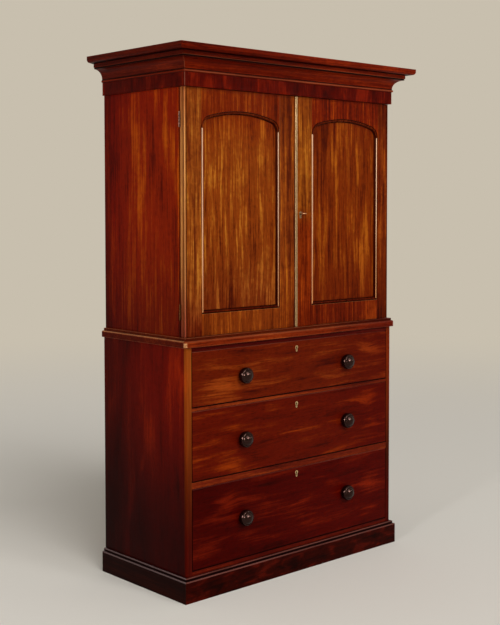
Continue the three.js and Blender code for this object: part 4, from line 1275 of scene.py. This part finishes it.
bush_brass = old_metal("brass_bush_dull", "#8a7455", "#5b4630", 0.42)
bush = make_piece(shape, "keyhole_bush_brass", bush_brass)
cut_away(bush, draw_facing(key_way, bush_back + cut_play, lock_low.y - cut_play))
shape = new_shape()
for x in (lock_low.x + lock_screw_inset, lock_high.x - lock_screw_inset):
    for z in (lock_low.z + lock_screw_inset, lock_high.z - lock_screw_inset):
        turn = lock_screw_turn_per_metre * x + lock_screw_turn
        add_screw(shape, x, z, lock_high.y, 1, turn)
screws = make_piece(shape, "lock_case_screws", aged_brass)
for piece in (case, bush, screws):
    set_in(piece, "right_door", "door_lock")
bolt = make_piece(eased_board(bolt_low, bolt_high, metal_easing), "lock_bolt_brass", aged_brass)
set_in(bolt, "lock_bolt", "door_lock_bolt")

# Key. A steel key with a round open bow stands in the lock, worn bright and warm by hands. Its shank has
# a collar before the bow, and its bit reaches the bolt inside the case.
bow_width = 0.022
bow_length = 0.017
bow_tube = 0.002
bow_steps = 32
tube_steps = 12
collar_radius = 0.0034
collar_length = 0.0026
collar_slope_share = 0.25
shank_neck_share = 0.8
bow_y = key_low.y + bow_length / 2
shank_end = bow_y + bow_length / 2 - bow_tube
shape = new_shape()
collar_y = shank_end + bow_tube
turn_profile(
    shape, (key_x, key_z),
    [
        (0, key_high.y),
        (shank_radius - metal_easing, key_high.y),
        (shank_radius, key_high.y - metal_easing),
        (shank_radius, collar_y + collar_length),
        (collar_radius, collar_y + (1 - collar_slope_share) * collar_length),
        (collar_radius, collar_y + collar_slope_share * collar_length),
        (shank_radius, collar_y),
        (shank_radius * shank_neck_share, shank_end - bow_tube / 2),
        (0, shank_end - bow_tube),
    ],
    tube_steps * 2,
)
add_board(
    shape, (key_x, case_front + lock_wall + key_play, key_z - bit_thickness / 2),
    (key_x + bit_reach, key_high.y, key_z + bit_thickness / 2),
)
ring = bmesh.new()
made = bmesh.ops.create_circle(ring, segments=tube_steps, radius=bow_tube)["verts"]
bmesh.ops.rotate(ring, verts=made, matrix=Matrix.Rotation(math.radians(90), 3, "X"))
bmesh.ops.translate(ring, verts=made, vec=(bow_width / 2 - bow_tube, 0, 0))
spin(ring, ring.verts[:] + ring.edges[:], (0, 0, 0), (0, 0, 1), bow_steps)
bmesh.ops.scale(ring, vec=(1, bow_length / bow_width, 1), verts=ring.verts)
bmesh.ops.translate(ring, vec=(key_x, bow_y, key_z), verts=ring.verts)
key_steel = old_metal("steel_key_warm", "#cc9a6e", "#835a34", 0.38)
for part, shape in (("shank", shape), ("bow", ring)):
    key = make_piece(shape, "steel_key_" + part, key_steel)
    set_in(key, "key", "door_key")

# Hinges. Drawn brass butts, two to a door: a leaf let into the cupboard side and one into the door, three
# screws in each, and five knuckles on a pin that stand clear of the wood. They have gone a dull brown,
# and the lower ones are coloured darker.
knuckle_room = 0.0045
knuckle_radius = 0.0028
knuckle_count = 5
knuckle_gap = 0.0003
knuckle_segments = 24
knuckle_easing = 0.0002
pin_radius = 0.0013
leaf_setback = 0.0009
hinge_screw_shares = (1 / 6, 1 / 2, 5 / 6)
hinge_screw_turn = 25
hinge_screw_turn_step = 55
hinge_brasses = {
    "upper": old_metal("brass_hinges_dull", "#6c4c40", "#2a1a14", 0.42),
    "lower": old_metal("brass_hinges_darkened", "#543218", "#2a160a", 0.5),
}


def add_bar(shape, x, y, radius, low, high):
    """An upright round bar. Returns the edges round its ends."""
    made = bmesh.ops.create_cone(
        shape, cap_ends=True, segments=knuckle_segments, radius1=radius, radius2=radius, depth=high - low,
    )["verts"]
    bmesh.ops.translate(shape, vec=(x, y, (low + high) / 2), verts=made)
    edges = {edge for vert in made for edge in vert.link_edges}
    return [edge for edge in edges if not along(edge, 2)]


pitch = hinge_length / knuckle_count
cupboard_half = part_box("upper_right_side")[1].x
side_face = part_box("upper_right_side")[0].y
axis_y = (side_face + door_back) / 2
for hand, side in hands:
    axis_x = side * (cupboard_half + knuckle_room + leaf_setback / 2)
    for level in ("upper", "lower"):
        for i, leaf in enumerate(("carcase", "door")):
            node = hand + "_" + level + "_hinge_" + leaf + "_leaf"
            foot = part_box(node)[0].z
            face, outward = (side_face, -1) if i == 0 else (door_back, 1)
            depths = sorted((face, face - outward * hinge_leaf_thickness))
            near, far = sorted(
                (side * (cupboard_half - hinge_leaf_width), side * (cupboard_half - leaf_setback / 2))
            )
            leaf_low, leaf_high = (near, depths[0], foot), (far, depths[1], foot + hinge_length)
            shape = eased_board(leaf_low, leaf_high, knuckle_easing)
            for k in range(i, knuckle_count, 2):
                bottom = foot + k * pitch + knuckle_gap / 2
                top = foot + (k + 1) * pitch - knuckle_gap / 2
                near, far = sorted((side * (cupboard_half - leaf_setback), axis_x))
                add_board(shape, (near, depths[0], bottom), (far, depths[1], top))
                ease(shape, add_bar(shape, axis_x, axis_y, knuckle_radius, bottom, top), knuckle_easing)
            if leaf == "carcase":
                for low in (foot, foot + hinge_length - hinge_leaf_thickness):
                    add_bar(shape, axis_x, axis_y, pin_radius, low, low + hinge_leaf_thickness)
            screw_x = side * (cupboard_half - hinge_leaf_width / 2)
            for k, share in enumerate(hinge_screw_shares):
                turn = hinge_screw_turn + hinge_screw_turn_step * (k + i)
                add_screw(shape, screw_x, foot + share * hinge_length, face, outward, turn)
            name = hand + "_" + level + "_" + leaf + "_hinge_leaf_brass"
            hinge = make_piece(shape, name, hinge_brasses[level])
            set_in(hinge, "carcase" if leaf == "carcase" else hand + "_door", node)

# Cornice. Mahogany mouldings round the front and sides, mitred at the front corners: a frieze veneered
# across its width, then an astragal, a deep cavetto, a fillet and a crown with a round below.
cornice_height = 0.155
frieze_height = 0.053
frieze_thickness = 0.022
ledge_depth = 0.068
ledge_thickness = 0.020
astragal_radius = 0.0055
astragal_steps = 8
astragal_highlight_share = 0.93
mitre_paleness = 0.9
mitre_pale_width = 0.0014
cavetto_foot = 0.0015
cavetto_run = 0.0390
cavetto_top = 0.106
fillet_bottom = 0.1125
fillet_run = 0.0435
fillet_top = 0.1265
soffit_run = 0.0475
crown_foot = 0.1295
crown_projection = 0.077
crown_rounding = 0.013
small_rounding = 0.001

astragal_centre = frieze_height + astragal_radius
astragal_top = astragal_centre + astragal_radius
cavetto_end = cavetto_foot + cavetto_run
cornice_corners = [(-ledge_depth, 0, 0), (0, 0, 0)]
cornice_corners += [
    (out, up, 0)
    for out, up in arc((0, astragal_centre), astragal_radius, -90, 90, astragal_steps)
]
cornice_corners += [
    (cavetto_foot, astragal_top, 0),
    (cavetto_foot, cavetto_top, cavetto_run - touch),
    (cavetto_end, cavetto_top, 0),
    (cavetto_end, fillet_bottom, 0),
    (fillet_run, fillet_bottom, small_rounding),
    (fillet_run, fillet_top, small_rounding),
    (soffit_run, fillet_top, 0),
    (crown_projection - crown_rounding - touch, crown_foot, 0),
    (crown_projection, crown_foot, crown_rounding),
    (crown_projection, cornice_height, small_rounding),
    (-frieze_thickness, cornice_height, 0),
    (-frieze_thickness, ledge_thickness, 0),
    (-ledge_depth, ledge_thickness, 0),
]
cornice_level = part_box("cornice_front")[0].z
frieze_wood = mahogany(
    "mahogany_frieze_veneer", "#2a0201", "#4b0601", "#741704", shift=(0.5, 0.3, 0.6), clouds=0.6,
    ribbons=0.2, contrast=0.85, cloud_size=(0.05, 0.16), wear_and_highlight_colour="#b07860",
)
cornice_wood = mahogany(
    "mahogany_cornice_mouldings", "#3b0601", "#631403", "#8b2807", grain="X", shift=(0.2, 0.8, 0.9),
    wear_and_highlight_colour="#8f4f33",
)
cornice_side_wood = mahogany(
    "mahogany_cornice_returns", "#340704", "#531105", "#77220a", grain="Y", shift=(1.2, 0.4, 0.3),
)


def cornice_highlights(out, up):
    """The crown of the astragal, the face of the fillet and the arris of the crown, painted pale as
    highlights.
    """
    near = abs(up - astragal_centre) < astragal_radius
    astragal = near and out > astragal_radius * astragal_highlight_share
    fillet = out > cavetto_end - small_rounding and fillet_bottom < up < fillet_top
    crown = out > crown_projection - small_rounding and up > cornice_height - small_rounding
    return astragal or fillet and up < fillet_bottom + 2 * small_rounding or crown


def cornice_shade(out, up):
    """The quirks on both sides of the astragal, the ledge above the cavetto and the soffit, painted dark
    as shade.
    """
    astragal_low = frieze_height - astragal_radius / 2
    astragal_high = astragal_top + astragal_radius / 2
    quirk = 0 < out < astragal_radius / 2 and astragal_low < up < astragal_high
    ledge = out > 0 and cavetto_top < up <= fillet_bottom
    soffit = out > fillet_run - small_rounding and fillet_top < up <= crown_foot
    return quirk or ledge or soffit


def pale_mitres(shape):
    """Paints the arris of both front mitres pale, from the frieze up to the top of the cavetto."""
    for _, side in hands:
        corner = Vector((side * chest_half, chest_front, 0))
        inwards = Vector((-side, -1, 0)).normalized()
        bmesh.ops.bisect_plane(
            shape, geom=shape.verts[:] + shape.edges[:] + shape.faces[:],
            plane_co=corner + inwards * mitre_pale_width, plane_no=inwards,
        )
        mark(
            shape, "wear_and_highlight", mitre_paleness,
            lambda middle: (
                (middle - corner).dot(inwards) < mitre_pale_width
                and middle.z < cornice_level + cavetto_top
            ),
        )
    return shape


def finish_cornice(shape, name, node, moulding_wood):
    """Gives the frieze its veneer and the mouldings above it their own wood."""
    for face in shape.faces:
        levels = [vert.co.z - cornice_level for vert in face.verts]
        face.material_index = 1 if max(levels) <= frieze_height + touch else 0
    cornice = make_piece(shape, name, moulding_wood, frieze_wood)
    set_in(cornice, "carcase", node)


finish_cornice(
    pale_mitres(mitred_front(cornice_corners, cornice_level, cornice_highlights, cornice_shade)),
    "cornice_front_moulding", "cornice_front", cornice_wood,
)
for hand, side in hands:
    finish_cornice(
        mitred_return(cornice_corners, cornice_level, side, cornice_highlights, cornice_shade),
        "cornice_" + hand + "_moulding", "cornice_" + hand, cornice_side_wood,
    )
rail_pine = rough_wood("pine_cornice_rail", "#5e3d20", "#96693c", "XX", 0.011, 0.5, 0.75)
finish_solid("cornice_back", rail_pine)

# Room. A plain pale floor without an edge in view, broad daylight from above the front, and three soft
# lamps. Two windows stand at the front and at the left, and only the polished surfaces show them.
floor_half = 30
floor_shape = bmesh.new()
bmesh.ops.create_grid(floor_shape, x_segments=1, y_segments=1, size=floor_half)
floor_mesh = bpy.data.meshes.new("floor")
floor_shape.to_mesh(floor_mesh)
floor_shape.free()
backdrop_colour = "#c8bfae"
floor_fade_start = 2.5
floor_fade_end = 9


def in_view(tree):
    """1 for what the camera, a reflection or a glass shows, and 0 for the light that falls on things."""
    rays = add_node(tree, "LightPath", {})
    seen = rays.outputs["Is Camera Ray"]
    for kind in ("Is Glossy Ray", "Is Transmission Ray"):
        seen = add_node(tree, "Math", {0: seen, 1: rays.outputs[kind]}, operation="MAXIMUM")
    return seen


# Matt pale floor paint. Far off it fades into the colour of the backdrop, so that no edge shows.
floor_paint, tree, shader = new_material(
    "floor_pale", {"Base Color": linear("#e4dfd6"), "Roughness": 0.9, "Specular IOR Level": 0.1},
)
place = add_node(tree, "TexCoord", {})
away = add_node(tree, "VectorMath", {0: place.outputs["Object"]}, operation="LENGTH")
far_off = add_node(
    tree, "MapRange",
    {"Value": away.outputs["Value"], "From Min": floor_fade_start, "From Max": floor_fade_end},
    interpolation_type="SMOOTHSTEP",
)
fading = add_node(tree, "Math", {0: far_off, 1: in_view(tree)}, operation="MULTIPLY")
haze = add_node(tree, "Emission", {"Color": linear(backdrop_colour), "Strength": 1})
faded = add_node(tree, "MixShader", {0: fading, 1: shader, 2: haze})
feed(tree.nodes["Material Output"], {"Surface": faded})
floor_mesh.materials.append(floor_paint)
floor = add_object("floor", floor_mesh)

studio = bpy.data.worlds.new("studio")
bpy.context.scene.world = studio
studio.use_nodes = True
tree = studio.node_tree
ambient = tree.nodes["Background"]
feed(ambient, {"Color": linear("#c9c6c0"), "Strength": 0.5})
behind = add_node(tree, "Background", {"Color": linear(backdrop_colour), "Strength": 1})
seen = add_node(tree, "MixShader", {0: in_view(tree), 1: ambient, 2: behind})
feed(tree.nodes["World Output"], {"Surface": seen})

sun_spread = 40
sun_tilt = 48
sun_turn = -12
daylight_data = bpy.data.lights.new("daylight", "SUN")
daylight_data.energy = 1.5
daylight_data.angle = math.radians(sun_spread)
daylight = add_object("daylight", daylight_data)
daylight.rotation_euler = (math.radians(sun_tilt), 0, math.radians(sun_turn))
lamps = (
    ("lamp_front", (0.6, -5.2, 3.4), (0, 0, 1.1), 0.9, 0.7, 50),
    ("lamp_left", (-5.0, -1.8, 2.2), (0, 0, 1.2), 0.5, 1.6, 60),
    ("lamp_right", (3.6, -4.4, 2.6), (0, 0, 0.9), 0.5, 0.5, 15),
    ("window_front", (-1.2, -5.4, 3.2), (0, 0, 0.7), 1.0, 1.6, 150),
    ("window_left", (-5.6, -0.8, 2.6), (0, 0, 0.7), 1.2, 2.2, 260),
)
for name, stand, target, width, height, power in lamps:
    lamp_data = bpy.data.lights.new(name, "AREA")
    lamp_data.shape = "RECTANGLE"
    lamp_data.size = width
    lamp_data.size_y = height
    lamp_data.energy = power
    lamp = add_object(name, lamp_data)
    lamp.location = stand
    lamp.rotation_euler = (Vector(target) - Vector(stand)).to_track_quat("-Z", "Y").to_euler()
    lamp.visible_diffuse = not name.startswith("window")

# Camera. It stands where the photograph was taken from: about 5 m away, at the front left and about as
# high as the key, looking slightly down.
camera_data = bpy.data.cameras.new("camera")
camera_data.sensor_width = 36
camera_data.lens = 65.098
camera_data.shift_x = 0.01068
camera_data.shift_y = -0.0846
camera = add_object("camera", camera_data)
camera_yaw = 42.12
camera_pitch = 2.65
camera_roll = -0.083
camera.location = (-3.3296, -3.5801, 1.5323)
camera.rotation_euler = (
    Matrix.Rotation(math.radians(-camera_yaw), 3, "Z")
    @ Matrix.Rotation(math.radians(90 - camera_pitch), 3, "X")
    @ Matrix.Rotation(math.radians(camera_roll), 3, "Z")
).to_euler()
bpy.context.scene.camera = camera
bpy.context.scene.view_settings.view_transform = "Standard"
